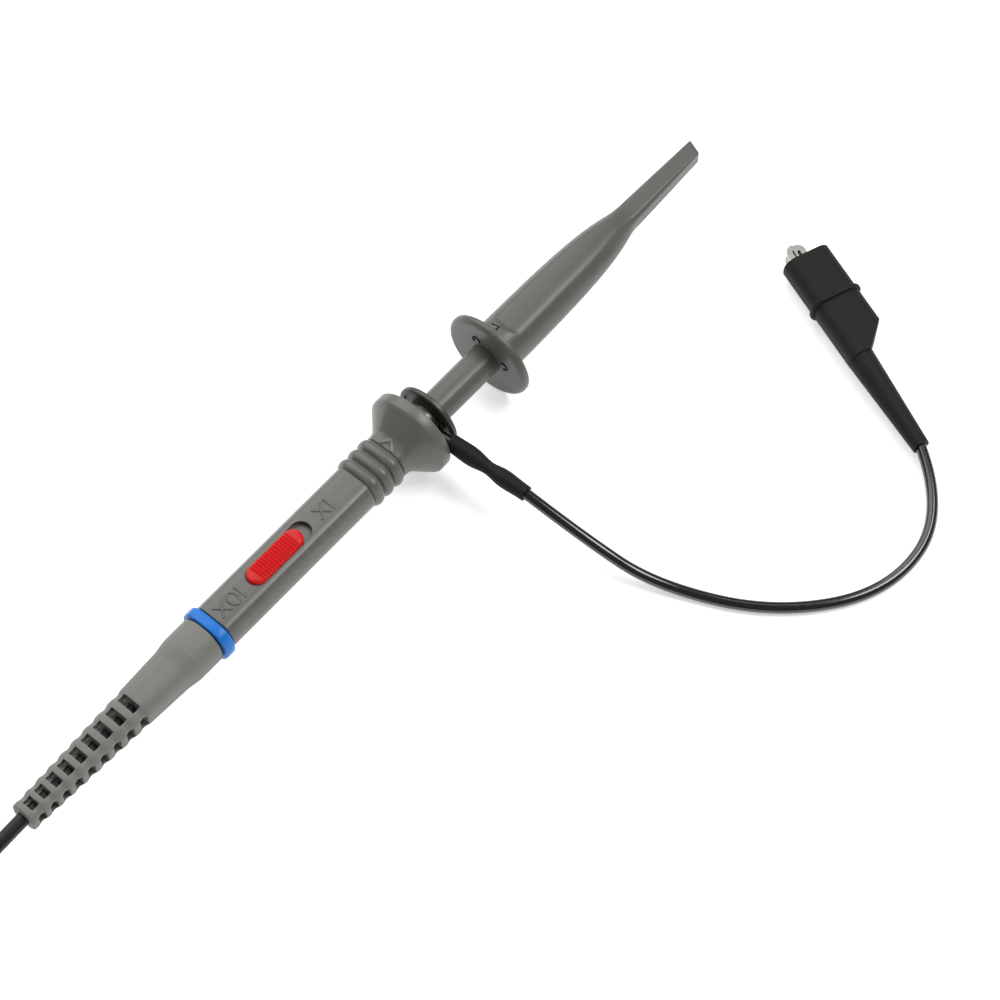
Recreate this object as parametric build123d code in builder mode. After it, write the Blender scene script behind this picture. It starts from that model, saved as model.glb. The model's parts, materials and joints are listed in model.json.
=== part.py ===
from build123d import *
import os
from math import cos, pi, radians, sin, tan

# A passive 1X/10X oscilloscope probe: handle with slide switch, spring hook tip, swivelling ground lead
# with crocodile clip, and a 1 m cable wound up and ending in a BNC plug with its compensation box.
# Millimetres. +X runs along the handle to the hook tip, +Z is up, the switch is on top and z = 0 is
# the bench. Stations along the handle are counted from the free end of the cable relief.

PROBE_LENGTH = 215.0
FLANGE_D = 21.9  # finger flange of the hook sheath, the widest part: it stands on the bench
AXIS_Z = FLANGE_D / 2

# cable and its relief
CABLE_D = 3.15
CABLE_BORE_D = 3.3
RELIEF_END_SIDE = 5.8
RELIEF_CONE_SIDE = 9.0
RELIEF_CONE = 43.4
RELIEF_HEAD = 47.3
RELIEF_HEAD_SIDE = 10.85
RELIEF_LENGTH = 53.4
RELIEF_CORNER = 0.36
RELIEF_HEAD_CORNER = 0.46
WINDOW_COUNT = 9
WINDOW_FIRST = 2.6
WINDOW_PITCH = 3.3
WINDOW_STRETCH = 0.035
WINDOW_LENGTH = 2.0
WINDOW_WIDTH = 2.4
WINDOW_WIDTH_GROWTH = 0.22
SIDE_WINDOW = 0.56  # width of the side windows as a share of the relief's side
FERRULE = (37.0, 43.0)
FERRULE_D = 4.8

# blue marker ring and the spigot it sits on
MARKER = (53.55, 56.5)
MARKER_D = 12.7
SPIGOT_START = 46.3
SPIGOT_R = 3.5
SPIGOT_BORE_R = 2.6

# handle shell
SHELL_START = 56.65
SHELL_FRONT = 120.0
SHELL_R = 5.5
FLAT_H = 4.5
FLAT_END = 110.9
BEAD_STATIONS = (102.45, 105.5, 108.6)
BEAD_R = 6.2
BEAD_HALF = 1.4
BEAD_SINK = 0.15
FLARE_START = 111.6
FLARE_TURN = 113.0
FLARE_TURN_R = 6.0
RIM_R = 10.2
RIM_START = 117.3
DISH_R = 9.0
DISH_DEPTH = 2.0
CAVITY = (57.6, 100.5)
CAVITY_R = 4.3
CAVITY_FLAT = 3.3
NOSE_BORE_R = 2.82

# slide switch
SLOT = (67.5, 86.1)
SLOT_WIDTH = 5.1
KNOB_LENGTH = 15.8
KNOB_TRAVEL = SLOT[1] - SLOT[0] - KNOB_LENGTH - 0.2
KNOB_WIDTH = 4.9
KNOB_H = 5.1
GRIP = (70.3, 80.2)
GRIP_WIDTH = 4.4
GRIP_H = 5.5
RIDGE_COUNT = 13
STEM = (74.0, 78.0)
STEM_WIDTH = 1.4
BED = (64.0, 90.0)
BED_WIDTH = 5.4
BED_H = (2.3, 3.2)

# attenuator inside the handle
BOARD = (60.0, 99.0)
BOARD_WIDTH = 7.6
BOARD_H = (-0.5, 0.5)
PAD_STATIONS = (72.0, 76.0, 80.0)
PAD_H = 0.65
WIPER = (73.8, 78.2)
WIPER_H = (0.75, 1.5)
RESISTOR = (91.8, 97.0)
RESISTOR_R = 1.1
CAPACITOR = (64.0, 69.0)

# nose
BARREL = (101.0, 134.0)
BARREL_R = 2.8
BARREL_BORE_R = 2.1
INSULATOR_FRONT = 135.5
NEEDLE_R = 0.6
NEEDLE_ROOT_R = 0.9
NEEDLE_SHOULDER = 136.2
NEEDLE_END = 143.0

# ground ring, its sleeve and lead
RING = (121.1, 123.1)
RING_STATION = (RING[0] + RING[1]) / 2
RING_R = 4.7
RUNNING = 0.06
CRIMP_R = 1.1
CRIMP_END = 10.8
SLEEVE_START = 8.25
SLEEVE_LENGTH = 20.4
SLEEVE_DRIFT = 2.4  # degrees from square to the handle
SLEEVE_R = 2.0
LEAD_D = 2.6

# hook carrier and its guard disc
GUARD = (123.7, 124.9)
GUARD_R = 7.8
CARRIER_R = 3.73
CARRIER_FLAT = 3.3
CARRIER_SHOULDER = 150.0
CARRIER_FRONT = 158.0
CARRIER_ROD_R = 2.0
SOCKET = (137.0, 148.0)
SOCKET_R = 1.6

# hook sheath
SHEATH_START = 143.3
SHEATH_FLANGE_END = 145.1
SHEATH_R = 6.05
SHEATH_FLAT = 5.5
SHEATH_BORE_R = CARRIER_R + RUNNING
SPRING_SEAT = 172.0
SNOUT_START = 186.0
SNOUT_SIDE = (5.7, 3.9)
SNOUT_CORNER = (1.7, 0.9)
SNOUT_BLEND_END = 190.4
SNOUT_SLANT = 10.0  # degrees by which the tip is cut off square, longer on the +Y side

# hook spring and hook wire
SPRING_R = 3.0
SPRING_WIRE = 0.55
SPRING_TURNS = 9
HOOK_WIRE_R = 0.5
HOOK_BEND_R = 0.85
HOOK_TIP = 213.6
HOOK_SLOT_WIDTH = 1.3

# crocodile clip: seen from above, forward is the way the jaws point and left is square to it
CLIP_FRONT = (105.0, -34.9)
CLIP_ANGLE = 69.6
BOOT_HALF = (5.8, 3.5)  # half width and half height of the boot
BOOT_WALL = 0.9
BOOT_CORNER_R = 2.9
BOOT_BEAD = -12.6
BOOT_BEAD_R = 0.65
CLIP_Z = BOOT_HALF[1] + BOOT_BEAD_R
BOOT_CORNER = -21.7
BOOT_REAR = -28.0
BOOT_TAIL_END = -52.8
TAIL_LEFT = 2.8
TAIL_R = (3.2, 2.0)
TAIL_END_Z = 3.0
PIVOT = (-12.5, 1.3)
PIVOT_R = 0.7
JAW_TIP = 3.9
JAW_LINE = 1.3
JAW_DEPTH = 2.3
JAW_HALF_HEIGHT = 2.0
SHEET = 0.45

# route of the ground lead, from the sleeve's end to the clip's tail
LEAD_ROUTE = (
    (15.8, -28.65, AXIS_Z),
    (16.6, -44.0, 8.6),
    (20.8, -60.5, 1.3),
    (32.0, -84.0, 1.3),
    (52.0, -99.5, 1.3),
    (75.0, -97.0, 1.3),
    (83.9, -83.4, TAIL_END_Z),
)

# route of the cable from the relief to the coil
COIL_X = -163.0
CABLE_ROUTE = (
    (-PROBE_LENGTH / 2, 0.0, AXIS_Z),
    (-121.5, 0.0, AXIS_Z),
    (-135.0, 0.0, CABLE_D / 2),
    (-153.0, 0.0, CABLE_D / 2),
)

# coil of the put-away cable: three turns side by side, three layers high
COIL_TURN_R = 22.0
COIL_STEP = 3.5
COIL_LAYERS = 3
TIE_ANGLE = 135.0
TIE_WIDTH = 5.0
TIE_THICK = 0.6

# connector end, counted away from the handle from where the cable enters it
CONNECTOR_X = -187.0
CONNECTOR_Z = CABLE_D * 2.5
CON_BOOT = 17.0
CON_MARKER = (13.6, 16.6)
HOUSING = (17.0, 47.0)
HOUSING_R = CONNECTOR_Z
HOUSING_WALL = 1.3
TRIMMER_STATION = 36.0
TRIMMER_HOLE_R = 1.6
BNC_BODY = (45.5, 53.0)
BNC_SHELL_R = 4.05
BNC_SHELL_BORE_R = 3.45
BNC_SHELL_END = 66.5
BNC_PIN_R = 0.675
BNC_PIN_END = 65.8
NUT = (51.5, 68.5)
NUT_R = 7.2
NUT_BORE_R = 5.75


def at(station):
    """X of a station along the handle."""
    return station - PROBE_LENGTH / 2


profile_plane = Plane(origin=(at(0), 0, AXIS_Z), x_dir=(1, 0, 0), z_dir=(0, -1, 0))
probe_axis = Axis((0, 0, AXIS_Z), (1, 0, 0))
connector_plane = Plane(origin=(CONNECTOR_X, 0, CONNECTOR_Z), x_dir=(-1, 0, 0), z_dir=(0, 1, 0))
connector_axis = Axis((CONNECTOR_X, 0, CONNECTOR_Z), (-1, 0, 0))
forward = (cos(radians(CLIP_ANGLE)), sin(radians(CLIP_ANGLE)), 0)
clip_plane = Plane(origin=(*CLIP_FRONT, CLIP_Z), x_dir=forward, z_dir=(0, 0, 1))


def outline(points, plane=profile_plane):
    """A closed straight-sided face; on the default plane its points are (station, height)."""
    with BuildSketch(plane) as sketch:
        with BuildLine():
            Polyline(*points, close=True)
        make_face()
    return sketch.sketch


def tube(start, end, outer, inner, plane=profile_plane):
    """The half section of a tube, ready to be turned about the plane's x axis."""
    return outline(((start, inner), (end, inner), (end, outer), (start, outer)), plane)


def cross(station):
    """A plane square to the handle: local x is Y, local y is Z, from the handle's axis."""
    return Plane(origin=(at(station), 0, AXIS_Z), x_dir=(0, 1, 0), z_dir=(1, 0, 0))


def disc(plane, radius):
    with BuildSketch(plane) as sketch:
        Circle(radius)
    return sketch.sketch


def bar(start, end, width, low, high):
    """A box centred on the handle's mid plane, with its heights counted from the axis."""
    position = Location((at((start + end) / 2), 0, AXIS_Z + (low + high) / 2))
    with BuildPart() as block:
        with Locations(position):
            Box(end - start, width, high - low)
    return block.part


def above(height, start, end):
    """Everything above a height between two stations, used to cut the flat along the top."""
    return bar(start, end, 4 * RIM_R, height, height + 2 * RIM_R)


def rounded_square(station, side, corner):
    """A square section of the handle with rounded corners."""
    with BuildSketch(cross(station)) as section:
        RectangleRounded(side, side, corner)
    return section.sketch


def relief_section(station, side):
    return rounded_square(station, side, side * RELIEF_CORNER)


def relief_side(station):
    """Width of the relief's tapered length."""
    return RELIEF_END_SIDE + (RELIEF_CONE_SIDE - RELIEF_END_SIDE) * station / RELIEF_CONE


def windows(number):
    """One pair of windows through the relief from top to bottom and one from side to side."""
    middle = WINDOW_FIRST + number * WINDOW_PITCH + number**2 * WINDOW_STRETCH
    start, end = middle - WINDOW_LENGTH / 2, middle + WINDOW_LENGTH / 2
    upright = bar(start, end, WINDOW_WIDTH + number * WINDOW_WIDTH_GROWTH, -RIM_R, RIM_R)
    across = bar(start, end, SIDE_WINDOW * relief_side(middle), -RIM_R, RIM_R)
    return upright, across.rotate(probe_axis, 90)


# ---- cable relief at the rear of the handle ----

with BuildPart() as strain_relief:
    cone_end = relief_section(RELIEF_CONE, RELIEF_CONE_SIDE)
    loft((relief_section(0, RELIEF_END_SIDE), cone_end), ruled=True)
    head = rounded_square(RELIEF_HEAD, RELIEF_HEAD_SIDE, RELIEF_HEAD_SIDE * RELIEF_HEAD_CORNER)
    loft((cone_end, head), ruled=True)
    extrude(head, amount=RELIEF_LENGTH - RELIEF_HEAD)
    add(above(FLAT_H, RELIEF_CONE + 1, RELIEF_LENGTH + 1), mode=Mode.SUBTRACT)
    for number in range(WINDOW_COUNT):
        add(windows(number), mode=Mode.SUBTRACT)
    bore = (
        (-1, 0),
        (RELIEF_LENGTH + 1, 0),
        (RELIEF_LENGTH + 1, SPIGOT_R + 0.03),
        (SPIGOT_START - 0.2, SPIGOT_R + 0.03),
        (SPIGOT_START - 0.2, FERRULE_D / 2 + 0.05),
        (FERRULE[0] - 0.1, FERRULE_D / 2 + 0.05),
        (FERRULE[0] - 0.1, CABLE_BORE_D / 2),
        (-1, CABLE_BORE_D / 2),
    )
    revolve(outline(bore), axis=probe_axis, mode=Mode.SUBTRACT)
    end_edges = strain_relief.faces().sort_by(Axis.X)[0].outer_wire().edges()
    fillet(end_edges, 0.9)
strain_relief.part.label = "strain_relief"

with BuildPart() as cable_end:
    revolve(tube(0, SPIGOT_START + 1.7, CABLE_D / 2, 0), axis=probe_axis)
cable_end.part.label = "cable_end"

with BuildPart() as cable_ferrule:
    revolve(tube(*FERRULE, FERRULE_D / 2, CABLE_D / 2), axis=probe_axis)
cable_ferrule.part.label = "cable_ferrule"

with BuildPart() as cable_core:
    revolve(tube(SPIGOT_START + 1.7, BOARD[0] - 2.5, 0.95, 0), axis=probe_axis)
    revolve(tube(BOARD[0] - 2.5, BOARD[0], 0.35, 0), axis=probe_axis)
cable_core.part.label = "cable_core"


# ---- marker ring ----

with BuildPart() as marker_ring:
    revolve(tube(*MARKER, MARKER_D / 2, SPIGOT_R), axis=probe_axis)
    add(above(FLAT_H + MARKER_D / 2 - SHELL_R, MARKER[0] - 1, MARKER[1] + 1), mode=Mode.SUBTRACT)
    outer_arcs = [e for e in marker_ring.edges().filter_by(GeomType.CIRCLE) if e.radius > SHELL_R]
    fillet(outer_arcs, 0.35)
marker_ring.part.label = "marker_ring"


# ---- handle shell ----

with BuildPart() as body_shell:
    with BuildSketch(profile_plane):
        with BuildLine():
            Polyline(
                (FLARE_START, SHELL_R),
                (SHELL_START, SHELL_R),
                (SHELL_START, 0),
                (SHELL_FRONT, 0),
                (SHELL_FRONT, RIM_R - 0.25),
                (SHELL_FRONT - 0.25, RIM_R),
                (RIM_START, RIM_R),
                (FLARE_TURN, FLARE_TURN_R),
            )
            ThreePointArc(
                (FLARE_TURN, FLARE_TURN_R),
                (FLARE_START + 0.8, SHELL_R + 0.13),
                (FLARE_START, SHELL_R),
            )
        make_face()
    revolve(axis=probe_axis)
    flat_cut = (
        (SHELL_START - 1, FLAT_H),
        (FLAT_END, FLAT_H),
        (FLAT_END + 2.6, FLAT_H + 3.0),
        (FLAT_END + 2.6, 3 * RIM_R),
        (SHELL_START - 1, 3 * RIM_R),
    )
    extrude(outline(flat_cut), amount=2 * RIM_R, both=True, mode=Mode.SUBTRACT)
    for station in BEAD_STATIONS:
        with BuildSketch(profile_plane):
            with BuildLine():
                bead_start = (station - BEAD_HALF, SHELL_R - BEAD_SINK)
                bead_end = (station + BEAD_HALF, SHELL_R - BEAD_SINK)
                ThreePointArc(bead_start, (station, BEAD_R), bead_end)
                Polyline(bead_end, (station + BEAD_HALF, 3), (station - BEAD_HALF, 3), bead_start)
            make_face()
        revolve(axis=probe_axis)
    bead_flat = above(
        FLAT_H + BEAD_R - SHELL_R, BEAD_STATIONS[0] - 2 * BEAD_HALF, BEAD_STATIONS[-1] + BEAD_HALF
    )
    add(bead_flat, mode=Mode.SUBTRACT)
    revolve(tube(SPIGOT_START, SHELL_START, SPIGOT_R, 0), axis=probe_axis)
    bore = (
        (SPIGOT_START - 1, 0),
        (SHELL_FRONT + 1, 0),
        (SHELL_FRONT + 1, DISH_R + 0.9),
        (SHELL_FRONT, DISH_R),
        (SHELL_FRONT - DISH_DEPTH, RING_R + 0.6),
        (SHELL_FRONT - DISH_DEPTH, NOSE_BORE_R),
        (CAVITY[1], NOSE_BORE_R),
        (CAVITY[1], SPIGOT_BORE_R),
        (SPIGOT_START - 1, SPIGOT_BORE_R),
    )
    revolve(outline(bore), axis=probe_axis, mode=Mode.SUBTRACT)
    with BuildSketch(cross(CAVITY[0])):
        Circle(CAVITY_R)
        with Locations((0, CAVITY_FLAT + CAVITY_R)):
            Rectangle(2 * CAVITY_R, 2 * CAVITY_R, mode=Mode.SUBTRACT)
    extrude(amount=CAVITY[1] - CAVITY[0], mode=Mode.SUBTRACT)
    with BuildSketch(Plane.XY.offset(AXIS_Z)):
        with Locations((at((SLOT[0] + SLOT[1]) / 2), 0)):
            SlotOverall(SLOT[1] - SLOT[0], SLOT_WIDTH)
    extrude(amount=2 * SHELL_R, mode=Mode.SUBTRACT)
body_shell.part.label = "body_shell"


# ---- slide switch ----

with BuildPart() as switch_knob:
    knob_x = at(SLOT[0] + 0.1 + KNOB_LENGTH / 2)
    with BuildSketch(Plane.XY.offset(AXIS_Z + BED_H[1] + 0.1)):
        with Locations((knob_x, 0)):
            SlotOverall(KNOB_LENGTH, KNOB_WIDTH)
    extrude(amount=KNOB_H - BED_H[1] - 0.1)
    fillet(switch_knob.faces().sort_by(Axis.Z)[-1].edges(), 0.45)
    add(bar(*GRIP, GRIP_WIDTH, KNOB_H - 0.5, GRIP_H))
    chamfer(switch_knob.faces().sort_by(Axis.Z)[-1].edges(), 0.25)
    ridge_pitch = (GRIP[1] - GRIP[0] - 1.2) / RIDGE_COUNT
    for number in range(RIDGE_COUNT):
        groove = GRIP[0] + 0.6 + ridge_pitch * (number + 0.5)
        cut = bar(groove - 0.15, groove + 0.15, GRIP_WIDTH + 1, GRIP_H - 0.3, GRIP_H + 1)
        add(cut, mode=Mode.SUBTRACT)
    add(bar(*STEM, STEM_WIDTH, WIPER_H[1], BED_H[1] + 0.2))
switch_knob.part.label = "switch_knob"

with BuildPart() as switch_bed:
    add(bar(*BED, BED_WIDTH, *BED_H))
    opening = bar(STEM[0] - 0.2, STEM[1] + KNOB_TRAVEL + 0.2, STEM_WIDTH + 0.3, 0, SHELL_R)
    add(opening, mode=Mode.SUBTRACT)
    for station in (BED[0] + 1, BED[1] - 1):
        for side in (-1, 1):
            foot = bar(station - 0.6, station + 0.6, 1, BOARD_H[1], BED_H[0] + 0.1)
            add(foot.moved(Location((0, side * 2.1, 0))))
switch_bed.part.label = "switch_bed"

with BuildPart() as switch_wiper:
    add(bar(*WIPER, 2.2, *WIPER_H))
    for station in (WIPER[0] + 0.4, WIPER[1] - 0.4):
        add(bar(station - 0.3, station + 0.3, 1.6, WIPER_H[0] - 0.04, WIPER_H[0]))
switch_wiper.part.label = "switch_wiper"


# ---- attenuator ----

with BuildPart() as attenuator_board:
    add(bar(*BOARD, BOARD_WIDTH, *BOARD_H))
attenuator_board.part.label = "attenuator_board"

with BuildPart() as switch_pads:
    for station in PAD_STATIONS:
        add(bar(station - 1.2, station + 1.2, 2.4, BOARD_H[1], PAD_H))
switch_pads.part.label = "switch_pads"

with BuildPart() as attenuator_resistor:
    height = BOARD_H[1] + RESISTOR_R
    body = (
        (RESISTOR[0], height),
        (RESISTOR[1], height),
        (RESISTOR[1], height + RESISTOR_R),
        (RESISTOR[1] - 1.4, height + RESISTOR_R),
        (RESISTOR[1] - 1.7, height + RESISTOR_R * 0.85),
        (RESISTOR[0] + 1.7, height + RESISTOR_R * 0.85),
        (RESISTOR[0] + 1.4, height + RESISTOR_R),
        (RESISTOR[0], height + RESISTOR_R),
    )
    revolve(outline(body), axis=Axis((0, 0, AXIS_Z + height), (1, 0, 0)))
    for start, end in ((RESISTOR[0] - 1.8, RESISTOR[0]), (RESISTOR[1], RESISTOR[1] + 1.8)):
        add(bar(start, end, 0.5, height - 0.25, height + 0.25))
    for station in (RESISTOR[0] - 1.8, RESISTOR[1] + 1.3):
        add(bar(station, station + 0.5, 0.5, BOARD_H[1], height))
attenuator_resistor.part.label = "attenuator_resistor"

with BuildPart() as attenuator_capacitor:
    add(bar(*CAPACITOR, 4, BOARD_H[0] - 2.0, BOARD_H[0]))
    fillet(attenuator_capacitor.edges().filter_by(Axis.Z), 0.8)
attenuator_capacitor.part.label = "attenuator_capacitor"


# ---- nose of the handle ----

with BuildPart() as ground_barrel:
    revolve(tube(*BARREL, BARREL_R, BARREL_BORE_R), axis=probe_axis)
    chamfer(ground_barrel.faces().sort_by(Axis.X)[-1].outer_wire().edges(), 0.25)
ground_barrel.part.label = "ground_barrel"

with BuildPart() as nose_insulator:
    section = (
        (BARREL[0], NEEDLE_ROOT_R),
        (BARREL[0], BARREL_BORE_R),
        (INSULATOR_FRONT - 0.9, BARREL_BORE_R),
        (INSULATOR_FRONT, BARREL_BORE_R - 0.6),
        (INSULATOR_FRONT, NEEDLE_ROOT_R),
    )
    revolve(outline(section), axis=probe_axis)
nose_insulator.part.label = "nose_insulator"

with BuildPart() as needle_tip:
    section = (
        (BOARD[1], 0),
        (NEEDLE_END, 0),
        (NEEDLE_END - 1.6, NEEDLE_R),
        (NEEDLE_SHOULDER, NEEDLE_R),
        (NEEDLE_SHOULDER - 0.3, NEEDLE_ROOT_R),
        (BARREL[0] - 0.5, NEEDLE_ROOT_R),
        (BARREL[0] - 0.5, 0.5),
        (BOARD[1], 0.5),
    )
    revolve(outline(section), axis=probe_axis)
needle_tip.part.label = "needle_tip"


# ---- ground ring and the sleeve over its crimp ----

sleeve_direction = (sin(radians(SLEEVE_DRIFT)), -cos(radians(SLEEVE_DRIFT)), 0)
sleeve_origin = (at(RING_STATION) + SLEEVE_START * tan(radians(SLEEVE_DRIFT)), -SLEEVE_START, AXIS_Z)
sleeve_side = (cos(radians(SLEEVE_DRIFT)), sin(radians(SLEEVE_DRIFT)), 0)
sleeve_plane = Plane(origin=sleeve_origin, x_dir=sleeve_direction, z_dir=sleeve_side)
sleeve_axis = Axis(sleeve_origin, sleeve_direction)

with BuildPart() as ground_ring:
    revolve(tube(*RING, RING_R, 0), axis=probe_axis)
    arm = tube(-SLEEVE_START, CRIMP_END - SLEEVE_START, CRIMP_R, 0, sleeve_plane)
    revolve(arm, axis=sleeve_axis)
    revolve(tube(RING[0] - 3, RING[1] + 3, BARREL_R + RUNNING, 0), axis=probe_axis, mode=Mode.SUBTRACT)
ground_ring.part.label = "ground_ring"

with BuildPart() as lead_sleeve:
    with BuildSketch(sleeve_plane):
        with BuildLine():
            Spline(
                (0, SLEEVE_R),
                (7.0, SLEEVE_R),
                (10.2, SLEEVE_R * 0.76),
                (13.0, SLEEVE_R * 0.95),
                (SLEEVE_LENGTH, SLEEVE_R * 0.88),
                tangents=((1, 0), (1, 0)),
            )
            Polyline(
                (SLEEVE_LENGTH, SLEEVE_R * 0.88),
                (SLEEVE_LENGTH, 0),
                (CRIMP_END - SLEEVE_START, 0),
                (CRIMP_END - SLEEVE_START, CRIMP_R),
                (0, CRIMP_R),
                (0, SLEEVE_R),
            )
        make_face()
    revolve(axis=sleeve_axis)
lead_sleeve.part.label = "lead_sleeve"


# ---- cords ----


def bend_radii(points):
    """For each corner, the radius that takes 0.45 of its shorter run."""
    radii = []
    for before, here, after in zip(points, points[1:], points[2:]):
        run_in = Vector(*here) - Vector(*before)
        run_out = Vector(*after) - Vector(*here)
        half_turn = radians(run_in.get_angle(run_out)) / 2
        radii.append(0.45 * min(run_in.length, run_out.length) / tan(half_turn))
    return radii


def cord(points, diameter):
    """A round cord along straight runs joined by arcs."""
    radii = bend_radii(points)
    print("bend radii in diameters:", [round(r / diameter, 1) for r in radii])
    with BuildPart() as swept:
        with BuildLine():
            path = FilletPolyline(*points, radius=radii)
        with BuildSketch(Plane(origin=path @ 0, z_dir=path % 0)):
            Circle(diameter / 2)
        sweep()
    ratio = swept.part.volume / (path.length * pi * diameter**2 / 4)
    print("length", round(path.length, 1), "volume ratio", round(ratio, 3))
    return swept


ground_lead = cord(LEAD_ROUTE, LEAD_D)
ground_lead.part.label = "ground_lead"

cable = cord(CABLE_ROUTE, CABLE_D)
cable.part.label = "cable"

coil_plane = Plane(origin=(COIL_X, COIL_TURN_R, 0), x_dir=(1, 0, 0), z_dir=(0, -1, 0))
coil_axis = Axis((COIL_X, COIL_TURN_R, 0), (0, 0, 1))
coil_width = 2 * COIL_STEP + CABLE_D
coil_height = COIL_LAYERS * CABLE_D
coil_middle_r = COIL_TURN_R - COIL_STEP
tie_out = (cos(radians(TIE_ANGLE)), sin(radians(TIE_ANGLE)), 0)
tie_middle = (COIL_X + coil_middle_r * tie_out[0], COIL_TURN_R + coil_middle_r * tie_out[1], 0)
tie_location = Location(Plane(origin=tie_middle, x_dir=tie_out, z_dir=(0, 0, 1)))

with BuildPart() as cable_coil:
    with BuildSketch(coil_plane):
        with Locations((coil_middle_r, coil_height / 2)):
            RectangleRounded(coil_width, coil_height, CABLE_D / 2 - 0.05)
    revolve(axis=coil_axis)
    with Locations(tie_location):
        Box(2 * coil_width, TIE_WIDTH, 2 * TIE_THICK, mode=Mode.SUBTRACT)
cable_coil.part.label = "cable_coil"

with BuildPart() as cable_plug_run:
    run_start = COIL_X - 10
    with BuildSketch(Plane(origin=(run_start, 0, CONNECTOR_Z), z_dir=(-1, 0, 0))):
        Circle(CABLE_D / 2)
    extrude(amount=run_start - CONNECTOR_X)
cable_plug_run.part.label = "cable_plug_run"

with BuildPart() as cable_tie:
    strap_side = (tie_out[1], -tie_out[0], 0)
    with BuildSketch(Plane(origin=tie_middle, x_dir=tie_out, z_dir=strap_side)):
        with Locations((-0.1, coil_height / 2 + TIE_THICK)):
            RectangleRounded(coil_width + 0.5 + 2 * TIE_THICK, coil_height + 2 * TIE_THICK, 2.0)
            RectangleRounded(coil_width + 0.5, coil_height, 1.4, mode=Mode.SUBTRACT)
    extrude(amount=TIE_WIDTH / 2 - 0.02, both=True)
cable_tie.part.label = "cable_tie"


# ---- hook: guard disc, carrier, socket, wire, spring and sheath ----

with BuildPart() as carrier_guard:
    revolve(tube(*GUARD, GUARD_R, CARRIER_R), axis=probe_axis)
    rear_dish = tube(GUARD[0] - 1, GUARD[0] + 0.4, GUARD_R - 1.2, CARRIER_R + 1)
    revolve(rear_dish, axis=probe_axis, mode=Mode.SUBTRACT)
    fillet([e for e in carrier_guard.edges().filter_by(GeomType.CIRCLE) if e.radius > GUARD_R - 0.1], 0.3)
carrier_guard.part.label = "carrier_guard"

with BuildPart() as hook_carrier:
    section = (
        (GUARD[0], BARREL_R + RUNNING),
        (GUARD[0], CARRIER_R),
        (CARRIER_SHOULDER, CARRIER_R),
        (CARRIER_SHOULDER, CARRIER_ROD_R),
        (CARRIER_FRONT - 0.4, CARRIER_ROD_R),
        (CARRIER_FRONT, CARRIER_ROD_R - 0.4),
        (CARRIER_FRONT, 0),
        (SOCKET[1] + 0.2, 0),
        (SOCKET[1] + 0.2, SOCKET_R + 0.05),
        (SOCKET[0] - 0.4, SOCKET_R + 0.05),
        (SOCKET[0] - 0.4, BARREL_BORE_R + 0.2),
        (BARREL[1] + 0.5, BARREL_BORE_R + 0.2),
        (BARREL[1] + 0.5, BARREL_R + RUNNING),
    )
    revolve(outline(section), axis=probe_axis)
    add(above(CARRIER_FLAT, GUARD[1], CARRIER_SHOULDER + 0.1), mode=Mode.SUBTRACT)
    with BuildSketch(cross(SOCKET[1])):
        with Locations((0, -HOOK_BEND_R)):
            Circle(HOOK_WIRE_R)
    extrude(amount=CARRIER_FRONT - SOCKET[1] + 1, mode=Mode.SUBTRACT)
hook_carrier.part.label = "hook_carrier"

with BuildPart() as contact_socket:
    revolve(tube(*SOCKET, SOCKET_R, 0), axis=probe_axis)
    bore = tube(SOCKET[0] - 1, NEEDLE_END + 0.4, NEEDLE_R + 0.03, 0)
    revolve(bore, axis=probe_axis, mode=Mode.SUBTRACT)
contact_socket.part.label = "contact_socket"

with BuildPart() as hook_wire:
    with BuildLine(profile_plane):
        straight = Line((SOCKET[1] + 0.3, -HOOK_BEND_R), (HOOK_TIP - HOOK_BEND_R, -HOOK_BEND_R))
        bend = CenterArc((HOOK_TIP - HOOK_BEND_R, 0), HOOK_BEND_R, -90, 180)
        Line(bend @ 1, (HOOK_TIP - HOOK_BEND_R - 1.6, HOOK_BEND_R))
    with BuildSketch(Plane(origin=straight @ 0, z_dir=(1, 0, 0))):
        Circle(HOOK_WIRE_R)
    sweep()
hook_wire.part.label = "hook_wire"

with BuildPart() as hook_spring:
    spring_length = SPRING_SEAT - CARRIER_SHOULDER
    turns_length = spring_length - SPRING_WIRE - 0.2
    spring_start = (at(CARRIER_SHOULDER + SPRING_WIRE / 2 + 0.1), 0, AXIS_Z)
    pitch = turns_length / SPRING_TURNS
    with BuildLine():
        turns = Helix(pitch, turns_length, SPRING_R, center=spring_start, direction=(1, 0, 0))
    with BuildSketch(Plane(origin=turns @ 0, z_dir=turns % 0)):
        Circle(SPRING_WIRE / 2)
    sweep(is_frenet=True)
hook_spring.part.label = "hook_spring"

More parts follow.
